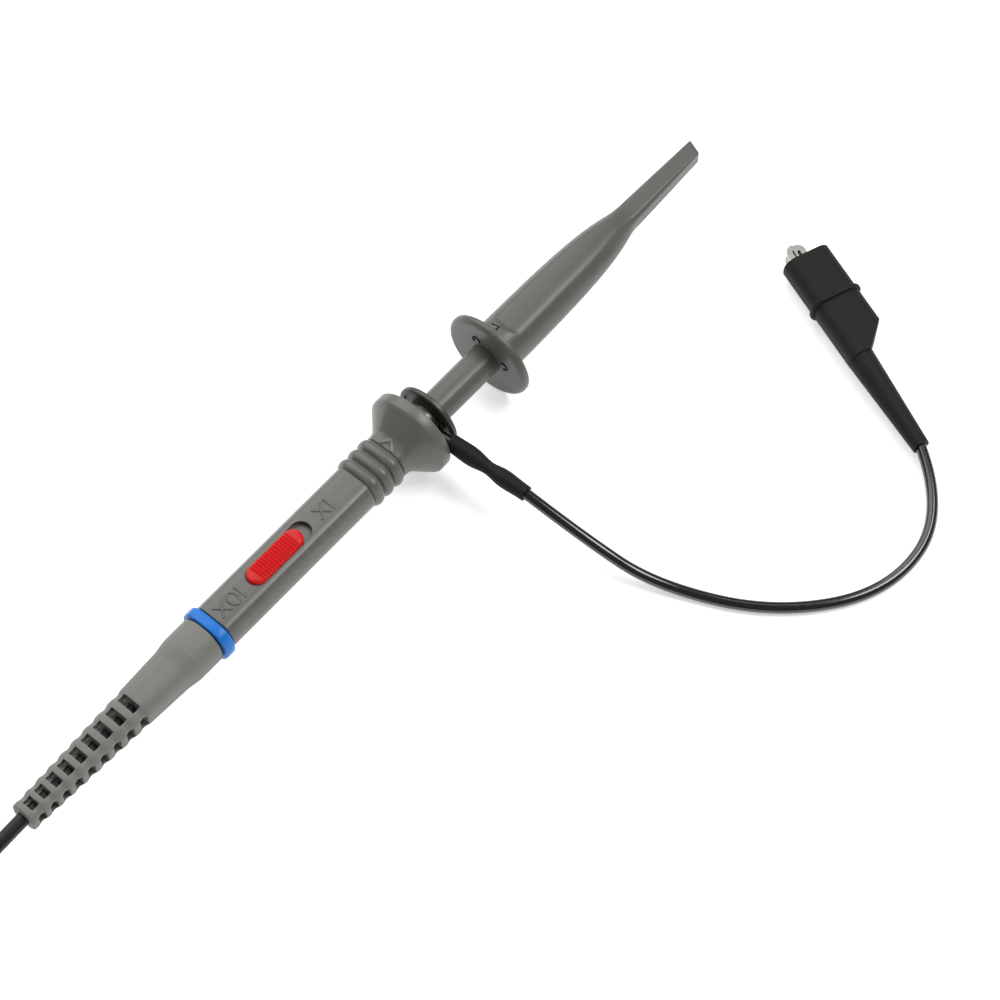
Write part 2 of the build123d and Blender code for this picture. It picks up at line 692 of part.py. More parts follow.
with BuildPart() as hook_sheath:
    with BuildSketch(profile_plane):
        with BuildLine():
            Polyline(
                (SNOUT_BLEND_END, 0),
                (SHEATH_START, 0),
                (SHEATH_START, FLANGE_D / 2),
                (SHEATH_FLANGE_END, FLANGE_D / 2),
                (SHEATH_FLANGE_END, SHEATH_R),
            )
            Spline(
                (SHEATH_FLANGE_END, SHEATH_R),
                (158.6, 5.93),
                (173.1, 5.55),
                (178.0, 5.23),
                (183.0, 4.61),
                (187.0, 3.55),
                (SNOUT_BLEND_END, 2.2),
                tangents=((1, -0.004), (1, -0.5)),
            )
            Line((SNOUT_BLEND_END, 2.2), (SNOUT_BLEND_END, 0))
        make_face()
    revolve(axis=probe_axis)
    round_edges = hook_sheath.edges().filter_by(GeomType.CIRCLE)
    flange_edges = [e for e in round_edges if e.radius > FLANGE_D / 2 - 0.1]
    rear_edge = min(flange_edges, key=lambda edge: edge.center().X)
    fillet(rear_edge, 1.2)
    snout_root = rounded_square(SNOUT_START, SNOUT_SIDE[0], SNOUT_CORNER[0])
    snout_tip = rounded_square(PROBE_LENGTH, SNOUT_SIDE[1], SNOUT_CORNER[1])
    loft((snout_root, snout_tip), ruled=True)
    add(above(SHEATH_FLAT, SHEATH_FLANGE_END + 4, SNOUT_START), mode=Mode.SUBTRACT)
    tip_side = SNOUT_SIDE[1] / 2
    tip_run = 3 * tip_side * tan(radians(SNOUT_SLANT))
    tip_cut = (
        (at(PROBE_LENGTH), tip_side / 2),
        (at(PROBE_LENGTH) - tip_run, -2.5 * tip_side),
        (at(PROBE_LENGTH) + 1, -2.5 * tip_side),
        (at(PROBE_LENGTH) + 1, tip_side / 2),
    )
    extrude(outline(tip_cut, Plane.XY), amount=2 * AXIS_Z, mode=Mode.SUBTRACT)
    bore = (
        (SHEATH_START - 1, 0),
        (SPRING_SEAT, 0),
        (SPRING_SEAT, SHEATH_BORE_R),
        (SHEATH_START - 1, SHEATH_BORE_R),
    )
    revolve(outline(bore), axis=probe_axis, mode=Mode.SUBTRACT)
    with BuildSketch(cross(SPRING_SEAT - 0.1)):
        SlotOverall(2 * HOOK_BEND_R + 2 * HOOK_WIRE_R + 0.3, HOOK_SLOT_WIDTH, rotation=90)
    extrude(amount=PROBE_LENGTH - SPRING_SEAT + 1, mode=Mode.SUBTRACT)
hook_sheath.part.label = "hook_sheath"


# ---- crocodile clip ----


def clip_outline(points):
    """A closed face in the clip's own plan: forward, left."""
    return outline(points, clip_plane)


def plate(face, low, high):
    """A flat sheet cut to a face drawn in the clip's plan, between two heights from its axis."""
    return extrude(face.moved(Location((0, 0, low))), amount=high - low, mode=Mode.PRIVATE)


def clip_cross(along, left, rise=0.0):
    """A plane square to the clip at a place along it."""
    centre = clip_plane.from_local_coords(Vector(along, left, rise))
    return Plane(origin=centre, x_dir=clip_plane.y_dir, z_dir=clip_plane.x_dir)


def clip_block(start, end, grow, round_ends=0.0):
    """A stretch of the boot's rounded section, grown outwards by grow."""
    with BuildPart() as block:
        with BuildSketch(clip_cross(start, 0)):
            RectangleRounded(2 * (BOOT_HALF[0] + grow), 2 * (BOOT_HALF[1] + grow), BOOT_CORNER_R + grow)
        extrude(amount=end - start)
        if round_ends:
            fillet(block.faces().sort_by(Axis(clip_plane.origin, clip_plane.x_dir))[0].edges(), round_ends)
            fillet(block.faces().sort_by(Axis(clip_plane.origin, clip_plane.x_dir))[-1].edges(), round_ends)
    return block.part


def boot_wedge(shift):
    """What is cut off the boot's rear right corner, moved forward by shift."""
    depth = BOOT_REAR - 1 - BOOT_CORNER
    face = clip_outline(
        (
            (BOOT_CORNER + shift, -BOOT_HALF[0]),
            (BOOT_CORNER + shift + depth, -BOOT_HALF[0] - depth),
            (BOOT_CORNER + shift + depth, -3 * BOOT_HALF[0]),
            (BOOT_CORNER + shift, -3 * BOOT_HALF[0]),
        )
    )
    return plate(face, -2 * BOOT_HALF[1], 2 * BOOT_HALF[1])


boot_hollow = clip_block(BOOT_REAR + 3.5, 1, -BOOT_WALL) - boot_wedge(1.6)

with BuildPart() as croc_boot:
    add(clip_block(BOOT_REAR, 0, 0))
    add(clip_block(BOOT_BEAD - BOOT_BEAD_R, BOOT_BEAD + BOOT_BEAD_R, BOOT_BEAD_R, BOOT_BEAD_R * 0.8))
    add(boot_wedge(0), mode=Mode.SUBTRACT)
    tail_root = disc(clip_cross(BOOT_REAR + 0.5, TAIL_LEFT), TAIL_R[0])
    tail_tip = disc(clip_cross(BOOT_TAIL_END, TAIL_LEFT, TAIL_END_Z - CLIP_Z), TAIL_R[1])
    loft((tail_root, tail_tip), ruled=True)
    add(boot_hollow, mode=Mode.SUBTRACT)
    with BuildSketch(clip_cross(BOOT_REAR - 8, TAIL_LEFT)):
        Circle(1.7)
    extrude(amount=14, mode=Mode.SUBTRACT)
croc_boot.part.label = "croc_boot"

jaw_left = JAW_LINE + JAW_DEPTH
jaw_right = JAW_LINE - JAW_DEPTH


def jaw_plan(side, inset):
    """Plan of one jaw's flange: side +1 is the left jaw; the tip is rounded."""
    outer = JAW_LINE + side * (JAW_DEPTH - inset)
    line = JAW_LINE + side * 0.03
    with BuildSketch(clip_plane) as sketch:
        with BuildLine():
            Polyline(
                (JAW_TIP - 1.7, outer),
                (PIVOT[0] - 1.6, outer),
                (PIVOT[0] - 1.6, JAW_LINE - side * 1.2),
                (PIVOT[0] + 1.6, JAW_LINE - side * 1.2),
                (PIVOT[0] + 2.6, line),
                (JAW_TIP, line),
            )
            ThreePointArc(
                (JAW_TIP, line),
                (JAW_TIP - 0.35, JAW_LINE + side * (JAW_DEPTH - inset) * 0.66),
                (JAW_TIP - 1.7, outer),
            )
        make_face()
    return sketch.sketch


def jaw(side, half_height, lever):
    """A jaw pressed from sheet: two toothed flanges, a back and a lever behind the pivot."""
    plan = jaw_plan(side, 0)
    with BuildPart() as pressed:
        for low in (-half_height, half_height - SHEET):
            add(plate(plan, low, low + SHEET))
        back = clip_outline(
            (
                (JAW_TIP - 1.8, JAW_LINE + side * (JAW_DEPTH - SHEET)),
                (JAW_TIP - 1.8, JAW_LINE + side * JAW_DEPTH),
                (PIVOT[0] - 1.6, JAW_LINE + side * JAW_DEPTH),
                (PIVOT[0] - 1.6, JAW_LINE + side * (JAW_DEPTH - SHEET)),
            )
        )
        add(plate(back, -half_height, half_height))
        add(plate(clip_outline(lever), -half_height + 0.5, half_height - 0.5))
        with BuildSketch(clip_plane.offset(-half_height - 1)):
            with Locations(PIVOT):
                Circle(PIVOT_R + 0.03)
        extrude(amount=2 * half_height + 2, mode=Mode.SUBTRACT)
    return pressed


left_lever = (
    (PIVOT[0] - 1.0, jaw_left),
    (PIVOT[0] - 1.0, jaw_left - SHEET),
    (BOOT_REAR + 6, jaw_left - SHEET),
    (BOOT_REAR + 6, jaw_left),
)
right_lever = (
    (PIVOT[0] - 1.0, jaw_right),
    (PIVOT[0] - 1.0, jaw_right + SHEET),
    (-21.0, -2.6 + SHEET),
    (-22.4, -2.6 + SHEET),
    (-22.4, -2.6),
    (-21.0, -2.6),
)

with BuildPart() as croc_jaw_fixed:
    add(jaw(1, JAW_HALF_HEIGHT, left_lever).part)
    with BuildSketch(clip_cross(BOOT_REAR - 7, TAIL_LEFT)):
        Circle(1.65)
    extrude(amount=13.6)
    with BuildSketch(clip_cross(BOOT_REAR - 8, TAIL_LEFT)):
        Circle(1.1)
    extrude(amount=13, mode=Mode.SUBTRACT)
croc_jaw_fixed.part.label = "croc_jaw_fixed"

with BuildPart() as croc_jaw_moving:
    add(jaw(-1, JAW_HALF_HEIGHT - SHEET - 0.1, right_lever).part)
croc_jaw_moving.part.label = "croc_jaw_moving"

with BuildPart() as croc_pin:
    pin_half = JAW_HALF_HEIGHT + 0.45
    with BuildSketch(clip_plane.offset(-pin_half)):
        with Locations(PIVOT):
            Circle(PIVOT_R)
    extrude(amount=2 * pin_half)
    for low in (-pin_half, pin_half - 0.4):
        with BuildSketch(clip_plane.offset(low)):
            with Locations(PIVOT):
                Circle(PIVOT_R + 0.5)
        extrude(amount=0.4)
croc_pin.part.label = "croc_pin"

with BuildPart() as croc_spring:
    spring_base = Plane(
        origin=clip_plane.from_local_coords(Vector(*PIVOT, -0.75)), x_dir=clip_plane.x_dir, z_dir=(0, 0, 1)
    )
    with BuildSketch(spring_base):
        Circle(PIVOT_R + 0.75)
        Circle(PIVOT_R + 0.25, mode=Mode.SUBTRACT)
    extrude(amount=1.5)
croc_spring.part.label = "croc_spring"


# ---- connector end ----


def con_tube(start, end, outer, inner):
    return tube(start, end, outer, inner, connector_plane)


with BuildPart() as connector_boot:
    profile = (
        (0, CABLE_D / 2 + 0.03),
        (0, 2.8),
        (CON_MARKER[0], 5.6),
        (CON_BOOT, 5.6),
        (CON_BOOT, CABLE_D / 2 + 0.03),
    )
    revolve(outline(profile, connector_plane), axis=connector_axis)
    for number in range(3):
        start = 2.5 + number * 3.2
        radius = 2.8 + (5.6 - 2.8) * (start + 0.7) / CON_MARKER[0]
        groove = con_tube(start, start + 1.4, radius + 1, radius - 0.5)
        revolve(groove, axis=connector_axis, mode=Mode.SUBTRACT)
connector_boot.part.label = "connector_boot"

with BuildPart() as connector_marker_ring:
    revolve(con_tube(*CON_MARKER, 6.6, 5.6), axis=connector_axis)
    fillet([e for e in connector_marker_ring.edges().filter_by(GeomType.CIRCLE) if e.radius > 6], 0.3)
connector_marker_ring.part.label = "connector_marker_ring"

with BuildPart() as connector_cable_end:
    revolve(con_tube(0, 22, CABLE_D / 2, 0), axis=connector_axis)
connector_cable_end.part.label = "connector_cable_end"

with BuildPart() as connector_housing:
    revolve(con_tube(*HOUSING, HOUSING_R, 0), axis=connector_axis)
    fillet([e for e in connector_housing.edges().filter_by(GeomType.CIRCLE) if e.radius > 7], 0.8)
    inside = (
        (HOUSING[0] - 1, 0),
        (HOUSING[1] + 1, 0),
        (HOUSING[1] + 1, 6.1),
        (BNC_BODY[0], 6.1),
        (BNC_BODY[0], HOUSING_R - HOUSING_WALL),
        (HOUSING[0] + 1.5, HOUSING_R - HOUSING_WALL),
        (HOUSING[0] + 1.5, CABLE_D / 2 + 0.03),
        (HOUSING[0] - 1, CABLE_D / 2 + 0.03),
    )
    revolve(outline(inside, connector_plane), axis=connector_axis, mode=Mode.SUBTRACT)
    with BuildSketch(Plane.XY.offset(CONNECTOR_Z)):
        with Locations((CONNECTOR_X - TRIMMER_STATION, 0)):
            Circle(TRIMMER_HOLE_R)
    extrude(amount=2 * HOUSING_R, mode=Mode.SUBTRACT)
connector_housing.part.label = "connector_housing"


def con_bar(start, end, width, low, high):
    """A box on the connector's mid plane, with its heights counted from its axis."""
    with BuildPart() as block:
        with Locations((CONNECTOR_X - (start + end) / 2, 0, CONNECTOR_Z + (low + high) / 2)):
            Box(end - start, width, high - low)
    return block.part


with BuildPart() as connector_board:
    add(con_bar(23, 44, 11, -1.6, -0.8))
connector_board.part.label = "connector_board"

with BuildPart() as trimmer_body:
    add(con_bar(TRIMMER_STATION - 2.5, TRIMMER_STATION + 2.5, 5, -0.8, 3.2))
    with BuildSketch(Plane.XY.offset(CONNECTOR_Z + 1.5)):
        with Locations((CONNECTOR_X - TRIMMER_STATION, 0)):
            Circle(1.35)
    extrude(amount=2, mode=Mode.SUBTRACT)
trimmer_body.part.label = "trimmer_body"

with BuildPart() as trimmer_screw:
    with BuildSketch(Plane.XY.offset(CONNECTOR_Z + 1.55)):
        with Locations((CONNECTOR_X - TRIMMER_STATION, 0)):
            Circle(1.3)
    extrude(amount=3.2)
    slot = con_bar(TRIMMER_STATION - 0.25, TRIMMER_STATION + 0.25, 4, 4.1, 5)
    add(slot, mode=Mode.SUBTRACT)
trimmer_screw.part.label = "trimmer_screw"

with BuildPart() as bnc_body:
    profile = (
        (BNC_BODY[0], 2.0),
        (BNC_BODY[0], 6.05),
        (NUT[0] - 0.3, 6.05),
        (NUT[0] - 0.3, 5.0),
        (BNC_BODY[1], 5.0),
        (BNC_BODY[1], BNC_SHELL_R),
        (BNC_BODY[1] + 0.2, BNC_SHELL_R),
        (BNC_BODY[1] + 0.2, BNC_SHELL_BORE_R),
        (BNC_BODY[0] + 2, BNC_SHELL_BORE_R),
        (BNC_BODY[0] + 2, 2.0),
    )
    revolve(outline(profile, connector_plane), axis=connector_axis)
bnc_body.part.label = "bnc_body"

with BuildPart() as bnc_shell:
    revolve(con_tube(BNC_BODY[1] + 0.2, BNC_SHELL_END, BNC_SHELL_R, BNC_SHELL_BORE_R), axis=connector_axis)
    for turn in range(2):
        slit = con_bar(BNC_SHELL_END - 8, BNC_SHELL_END + 1, 0.5, -10, 10)
        add(slit.rotate(connector_axis, 90 * turn), mode=Mode.SUBTRACT)
bnc_shell.part.label = "bnc_shell"

with BuildPart() as bnc_insulator:
    profile = (
        (BNC_BODY[0] + 2, BNC_PIN_R + 0.4),
        (BNC_BODY[0] + 2, BNC_SHELL_BORE_R),
        (BNC_BODY[1] + 2.5, BNC_SHELL_BORE_R),
        (BNC_BODY[1] + 2.5, 2.4),
        (BNC_BODY[1] + 4.5, 2.4),
        (BNC_BODY[1] + 4.5, BNC_PIN_R + 0.4),
    )
    revolve(outline(profile, connector_plane), axis=connector_axis)
bnc_insulator.part.label = "bnc_insulator"

with BuildPart() as bnc_centre_pin:
    profile = (
        (44.0, 0),
        (BNC_PIN_END, 0),
        (BNC_PIN_END, 0.3),
        (BNC_PIN_END - 0.7, BNC_PIN_R),
        (BNC_BODY[1] + 5.5, BNC_PIN_R),
        (BNC_BODY[1] + 5.2, BNC_PIN_R + 0.4),
        (44.0, BNC_PIN_R + 0.4),
    )
    revolve(outline(profile, connector_plane), axis=connector_axis)
bnc_centre_pin.part.label = "bnc_centre_pin"

with BuildPart() as bnc_nut:
    revolve(con_tube(*NUT, NUT_R, NUT_BORE_R), axis=connector_axis)
    chamfer([e for e in bnc_nut.edges().filter_by(GeomType.CIRCLE) if e.radius > 7], 0.4)
    revolve(con_tube(NUT[0], NUT[0] + 1.0, NUT_BORE_R, 5.1), axis=connector_axis)
    for turn in range(2):
        entry = con_bar(NUT[1] - 7.5, NUT[1] + 1, 2.2, NUT_BORE_R - 0.5, NUT_R + 1)
        add(entry.rotate(connector_axis, 90 + 180 * turn), mode=Mode.SUBTRACT)
        for step in range(1, 9):
            ramp_start = NUT[1] - 7.5 - step * 0.15
            ramp = con_bar(ramp_start, ramp_start + 2.2, 2.2, NUT_BORE_R - 0.5, NUT_R + 1)
            add(ramp.rotate(connector_axis, 90 + 180 * turn - step * 9), mode=Mode.SUBTRACT)
bnc_nut.part.label = "bnc_nut"

with BuildPart() as bnc_gasket:
    revolve(con_tube(BNC_BODY[1] + 0.3, BNC_BODY[1] + 1.3, 5.2, BNC_SHELL_R), axis=connector_axis)
bnc_gasket.part.label = "bnc_gasket"

with BuildPart() as bnc_spring_washer:
    revolve(con_tube(NUT[0] - 0.28, NUT[0] - 0.08, 6.0, 5.1), axis=connector_axis)
bnc_spring_washer.part.label = "bnc_spring_washer"


os.makedirs("parts", exist_ok=True)
subparts = [
    strain_relief, cable_end, cable_ferrule, cable_core, marker_ring, body_shell,
    switch_knob, switch_bed, switch_wiper, switch_pads,
    attenuator_board, attenuator_resistor, attenuator_capacitor,
    ground_barrel, nose_insulator, needle_tip, ground_ring, lead_sleeve,
    ground_lead, cable, cable_coil, cable_plug_run, cable_tie,
    carrier_guard, hook_carrier, contact_socket, hook_wire, hook_spring, hook_sheath,
    croc_boot, croc_jaw_fixed, croc_jaw_moving, croc_pin, croc_spring,
    connector_boot, connector_marker_ring, connector_cable_end, connector_housing, connector_board,
    trimmer_body, trimmer_screw,
    bnc_body, bnc_shell, bnc_insulator, bnc_centre_pin, bnc_nut, bnc_gasket, bnc_spring_washer,
]
for subpart in subparts:
    export_step(subpart.part, f"parts/{subpart.part.label}.step")
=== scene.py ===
import json
from math import cos, exp, pi, radians, sin, sqrt

import bmesh
import bpy
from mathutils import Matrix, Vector

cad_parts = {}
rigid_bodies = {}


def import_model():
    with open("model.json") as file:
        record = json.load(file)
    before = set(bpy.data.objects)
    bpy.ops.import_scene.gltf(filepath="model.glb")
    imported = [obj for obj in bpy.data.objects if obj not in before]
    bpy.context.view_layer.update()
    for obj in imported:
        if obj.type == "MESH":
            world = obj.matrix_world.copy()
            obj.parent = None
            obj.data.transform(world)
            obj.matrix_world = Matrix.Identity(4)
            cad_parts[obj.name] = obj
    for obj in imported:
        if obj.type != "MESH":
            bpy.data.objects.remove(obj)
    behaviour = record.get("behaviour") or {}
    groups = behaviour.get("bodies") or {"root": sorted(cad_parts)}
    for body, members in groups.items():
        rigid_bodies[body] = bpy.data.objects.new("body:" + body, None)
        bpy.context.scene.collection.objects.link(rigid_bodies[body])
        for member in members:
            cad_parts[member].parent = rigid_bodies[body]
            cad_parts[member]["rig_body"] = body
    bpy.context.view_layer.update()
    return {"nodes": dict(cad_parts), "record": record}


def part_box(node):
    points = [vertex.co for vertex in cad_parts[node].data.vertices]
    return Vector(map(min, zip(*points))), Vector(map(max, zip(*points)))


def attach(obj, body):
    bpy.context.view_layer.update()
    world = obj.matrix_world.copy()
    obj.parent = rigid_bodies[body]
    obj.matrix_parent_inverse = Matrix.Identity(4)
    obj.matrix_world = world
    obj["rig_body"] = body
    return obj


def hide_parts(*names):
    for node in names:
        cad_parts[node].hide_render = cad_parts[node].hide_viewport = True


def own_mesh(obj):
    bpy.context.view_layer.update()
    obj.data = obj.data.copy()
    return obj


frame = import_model()
nodes = frame["nodes"]

# A passive 1X/10X oscilloscope probe on a pale bench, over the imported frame: its materials, the two cords,
# the moulded pieces of the handle and the hook, the raised marks, the knob and other soft-edged pieces.
# The scene is in metres, +X along the handle to the hook tip, +Z up; tables of sizes are in mm.

MM = 0.001


# ---- places taken from the frame ----

sheath_low, sheath_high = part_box("hook_sheath")
AXIS_Z = (sheath_low.z + sheath_high.z) / 2
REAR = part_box("strain_relief")[0].x


def place(station, side=0.0, height=0.0):
    """A point from its station along the handle, its offset to +Y and its height over the axis, in mm."""
    return Vector((REAR + station * MM, side * MM, AXIS_Z + height * MM))


def add_object(name, data):
    """A new object in the scene."""
    made = bpy.data.objects.new(name, data)
    bpy.context.collection.objects.link(made)
    return made


# ---- camera, bench and light ----

CAMERA_AT = Vector((-0.2495, -0.2487, 0.6334))
CAMERA_AIM = Vector((0.0144, -0.0224, 0.00285))
CAMERA_LENS = 120.2
CAMERA_NEAR = 0.01

BENCH_SIZE = 6.0
BENCH_COLOUR = (0.95, 0.95, 0.95)
BENCH_GLOW = 0.5
SKY = 0.2

# name, place, width and power of each square lamp
LAMPS = (
    ("key", (0.44, -0.34, 0.95), 0.5, 7.0),
    ("fill", (0.2, 0.9, 1.0), 1.4, 15.0),
)


def look(thing, aim):
    """Turns a camera or a lamp towards a point."""
    thing.rotation_euler = (aim - thing.location).to_track_quat("-Z", "Y").to_euler()


def make_camera():
    camera = add_object("camera", bpy.data.cameras.new("camera"))
    camera.data.lens = CAMERA_LENS
    camera.data.clip_start = CAMERA_NEAR
    camera.location = CAMERA_AT
    look(camera, CAMERA_AIM)
    bpy.context.scene.camera = camera


def make_lamps():
    """The lamps, all aimed at the origin."""
    for name, location, width, power in LAMPS:
        light = add_object(name, bpy.data.lights.new(name, "AREA"))
        light.data.shape = "RECTANGLE"
        light.data.size = width
        light.data.size_y = width
        light.data.energy = power
        light.location = location
        look(light, Vector((0, 0, 0)))


def make_bench():
    """A large square in the plane z = 0 that glows a little, so that it stays pale."""
    mesh = bpy.data.meshes.new("bench")
    half = BENCH_SIZE / 2
    corners = [(-half, -half, 0), (half, -half, 0), (half, half, 0), (-half, half, 0)]
    mesh.from_pydata(corners, [], [(0, 1, 2, 3)])
    bench = add_object("bench", mesh)
    cover = paint("bench", BENCH_COLOUR, 0.9, grain=0.2, mottle=0.01)
    surface = cover.node_tree.nodes["Principled BSDF"]
    surface.inputs["Emission Color"].default_value = (1, 1, 1, 1)
    surface.inputs["Emission Strength"].default_value = BENCH_GLOW
    bench.data.materials.append(cover)


def make_sky():
    """Even white light from all round."""
    world = bpy.data.worlds.new("studio")
    world.use_nodes = True
    background = world.node_tree.nodes["Background"]
    background.inputs["Color"].default_value = (1.0, 1.0, 1.0, 1)
    background.inputs["Strength"].default_value = SKY
    bpy.context.scene.world = world
    bpy.context.scene.view_settings.view_transform = "Standard"


# ---- materials ----

MOTTLE_SCALE = 160.0
GRAIN_DEPTH = 0.03
GRAIN_STRENGTH = 0.25
GRAIN_RANGE = (0.3, 0.7)
# edges lightened in the colour, partly as wear and partly as a painted highlight: width of the edge band in
# mm, match range and lightening
WEAR_AND_HIGHLIGHT_EDGE = 0.35
WEAR_AND_HIGHLIGHT_MATCH = (0.995, 0.9)
WEAR_AND_HIGHLIGHT_LIGHTER = 1.9
ROUGHNESS_SPREAD = 0.07
COAT_ROUGHNESS = 0.12

PATCH_SCALE = 170.0
SCRATCH_SCALE = 2500.0
SCRATCH_RANGE = (0.35, 0.65)
SCRATCH_STRENGTH, SCRATCH_DEPTH = 0.12, 0.01
CLEAN_LIGHTER = 1.05

WEAVE_SCALE = 1400.0
LINT_SCALE = 2600.0
WEAVE_STRENGTH, WEAVE_DEPTH = 0.6, 0.08


def feed(tree, socket, value):
    """Links a socket to another one, or sets it to a plain value."""
    if isinstance(value, bpy.types.NodeSocket):
        tree.links.new(value, socket)
    else:
        socket.default_value = value


def shader(name):
    """A new material: its node tree, its surface node and a helper that adds a node with its inputs set."""
    material = bpy.data.materials.new(name)
    material.use_nodes = True
    tree = material.node_tree
    surface = tree.nodes["Principled BSDF"]

    def node(kind, **inputs):
        made = tree.nodes.new(kind)
        for key, value in inputs.items():
            feed(tree, made.inputs[key.replace("_", " ")], value)
        return made

    return material, tree, surface, node


def ramp(node, tree, value, low, high, at_low, at_high):
    """Maps a value from the range low..high onto at_low..at_high."""
    mapped = node("ShaderNodeMapRange")
    tree.links.new(value, mapped.inputs["Value"])
    mapped.inputs["From Min"].default_value = low
    mapped.inputs["From Max"].default_value = high
    mapped.inputs["To Min"].default_value = at_low
    mapped.inputs["To Max"].default_value = at_high
    return mapped.outputs["Result"]


def blend(node, tree, factor, start, end):
    """The colour that goes from start to end as the factor goes from 0 to 1."""
    mixed = node("ShaderNodeMix")
    mixed.data_type = "RGBA"
    feed(tree, mixed.inputs["A"], start)
    feed(tree, mixed.inputs["B"], end)
    feed(tree, mixed.inputs["Factor"], factor)
    return mixed.outputs["Result"]


def bump_by(node, tree, surface, strength, depth, height):
    """Raises a surface by a height map; depth is in mm."""
    bump = node("ShaderNodeBump", Strength=strength, Distance=depth * MM, Height=height)
    tree.links.new(bump.outputs["Normal"], surface.inputs["Normal"])


def tint(colour, factor):
    """A colour made darker or lighter, with full opacity."""
    return (*[min(1.0, channel * factor) for channel in colour], 1)


def paint(name, colour, roughness, grain=1.0, wear_and_edge_highlight=0.0, coat=0.0, grain_size=0.35, gloss=0.4, mottle=0.08):
    """A moulded or painted surface: mottled colour, fine grain in the bump and roughness, edges lightened
    partly as wear and partly as a painted highlight.
    grain_size is in mm; wear_and_edge_highlight lightens edges that a bevel would round off, as wear and as
    the painted highlight such a rounded edge would catch."""
    material, tree, surface, node = shader(name)
    where = node("ShaderNodeTexCoord").outputs["Object"]
    fine = node("ShaderNodeTexNoise", Vector=where, Scale=1 / (grain_size * MM), Detail=4.0, Roughness=0.6)
    broad = node("ShaderNodeTexNoise", Vector=where, Scale=MOTTLE_SCALE, Detail=5.0, Roughness=0.65)
    shown = blend(node, tree, broad.outputs["Fac"], tint(colour, 1 - mottle), tint(colour, 1 + mottle))
    # edges lightened in the colour: partly wear, partly a painted highlight where a rounded edge would catch
    # the light
    if wear_and_edge_highlight:
        edge = node("ShaderNodeBevel", Radius=WEAR_AND_HIGHLIGHT_EDGE * MM)
        edge.samples = 4
        flat = node("ShaderNodeNewGeometry").outputs["Normal"]
        match = node("ShaderNodeVectorMath")
        match.operation = "DOT_PRODUCT"
        tree.links.new(edge.outputs["Normal"], match.inputs[0])
        tree.links.new(flat, match.inputs[1])
        amount = ramp(node, tree, match.outputs["Value"], *WEAR_AND_HIGHLIGHT_MATCH, 0.0, wear_and_edge_highlight)
        shown = blend(node, tree, amount, shown, tint(colour, WEAR_AND_HIGHLIGHT_LIGHTER))
    tree.links.new(shown, surface.inputs["Base Color"])
    smoothest, roughest = roughness - ROUGHNESS_SPREAD, roughness + ROUGHNESS_SPREAD
    spread = ramp(node, tree, fine.outputs["Fac"], *GRAIN_RANGE, smoothest, roughest)
    tree.links.new(spread, surface.inputs["Roughness"])
    bump_by(node, tree, surface, GRAIN_STRENGTH * grain, GRAIN_DEPTH, fine.outputs["Fac"])
    surface.inputs["Specular IOR Level"].default_value = gloss
    surface.inputs["Coat Weight"].default_value = coat
    surface.inputs["Coat Roughness"].default_value = COAT_ROUGHNESS
    return material


def metal(name, colour, roughness, stretch=(1, 1, 1), tarnish=0.25):
    """A plated or drawn metal: fine scratches in the roughness and bump, patchy tarnish in the colour."""
    material, tree, surface, node = shader(name)
    where = node("ShaderNodeTexCoord").outputs["Object"]
    along = node("ShaderNodeMapping", Vector=where, Scale=stretch)
    scratch = node("ShaderNodeTexNoise", Vector=along.outputs["Vector"], Scale=SCRATCH_SCALE, Detail=6.0)
    patch = node("ShaderNodeTexNoise", Vector=where, Scale=PATCH_SCALE, Detail=4.0, Roughness=0.6)
    dull, clean = tint(colour, 1 - tarnish), tint(colour, CLEAN_LIGHTER)
    tree.links.new(blend(node, tree, patch.outputs["Fac"], dull, clean), surface.inputs["Base Color"])
    spread = ramp(node, tree, scratch.outputs["Fac"], *SCRATCH_RANGE, roughness * 0.6, roughness * 1.5)
    tree.links.new(spread, surface.inputs["Roughness"])
    bump_by(node, tree, surface, SCRATCH_STRENGTH, SCRATCH_DEPTH, scratch.outputs["Fac"])
    surface.inputs["Metallic"].default_value = 1.0
    return material


def webbing(name, colour):
    """Woven strap: ribs in the bump with lint-like colour variation."""
    material, tree, surface, node = shader(name)
    where = node("ShaderNodeTexCoord").outputs["Object"]
    weave = node("ShaderNodeTexWave", Vector=where, Scale=WEAVE_SCALE, Distortion=1.5, Detail=2.0)
    lint = node("ShaderNodeTexNoise", Vector=where, Scale=LINT_SCALE, Detail=3.0)
    shown = blend(node, tree, lint.outputs["Fac"], tint(colour, 0.6), tint(colour, 2.2))
    tree.links.new(shown, surface.inputs["Base Color"])
    surface.inputs["Roughness"].default_value = 0.85
    bump_by(node, tree, surface, WEAVE_STRENGTH, WEAVE_DEPTH, weave.outputs["Fac"])
    return material


GREY = (0.118, 0.118, 0.105)
HOOK_GREY = (0.098, 0.1, 0.088)

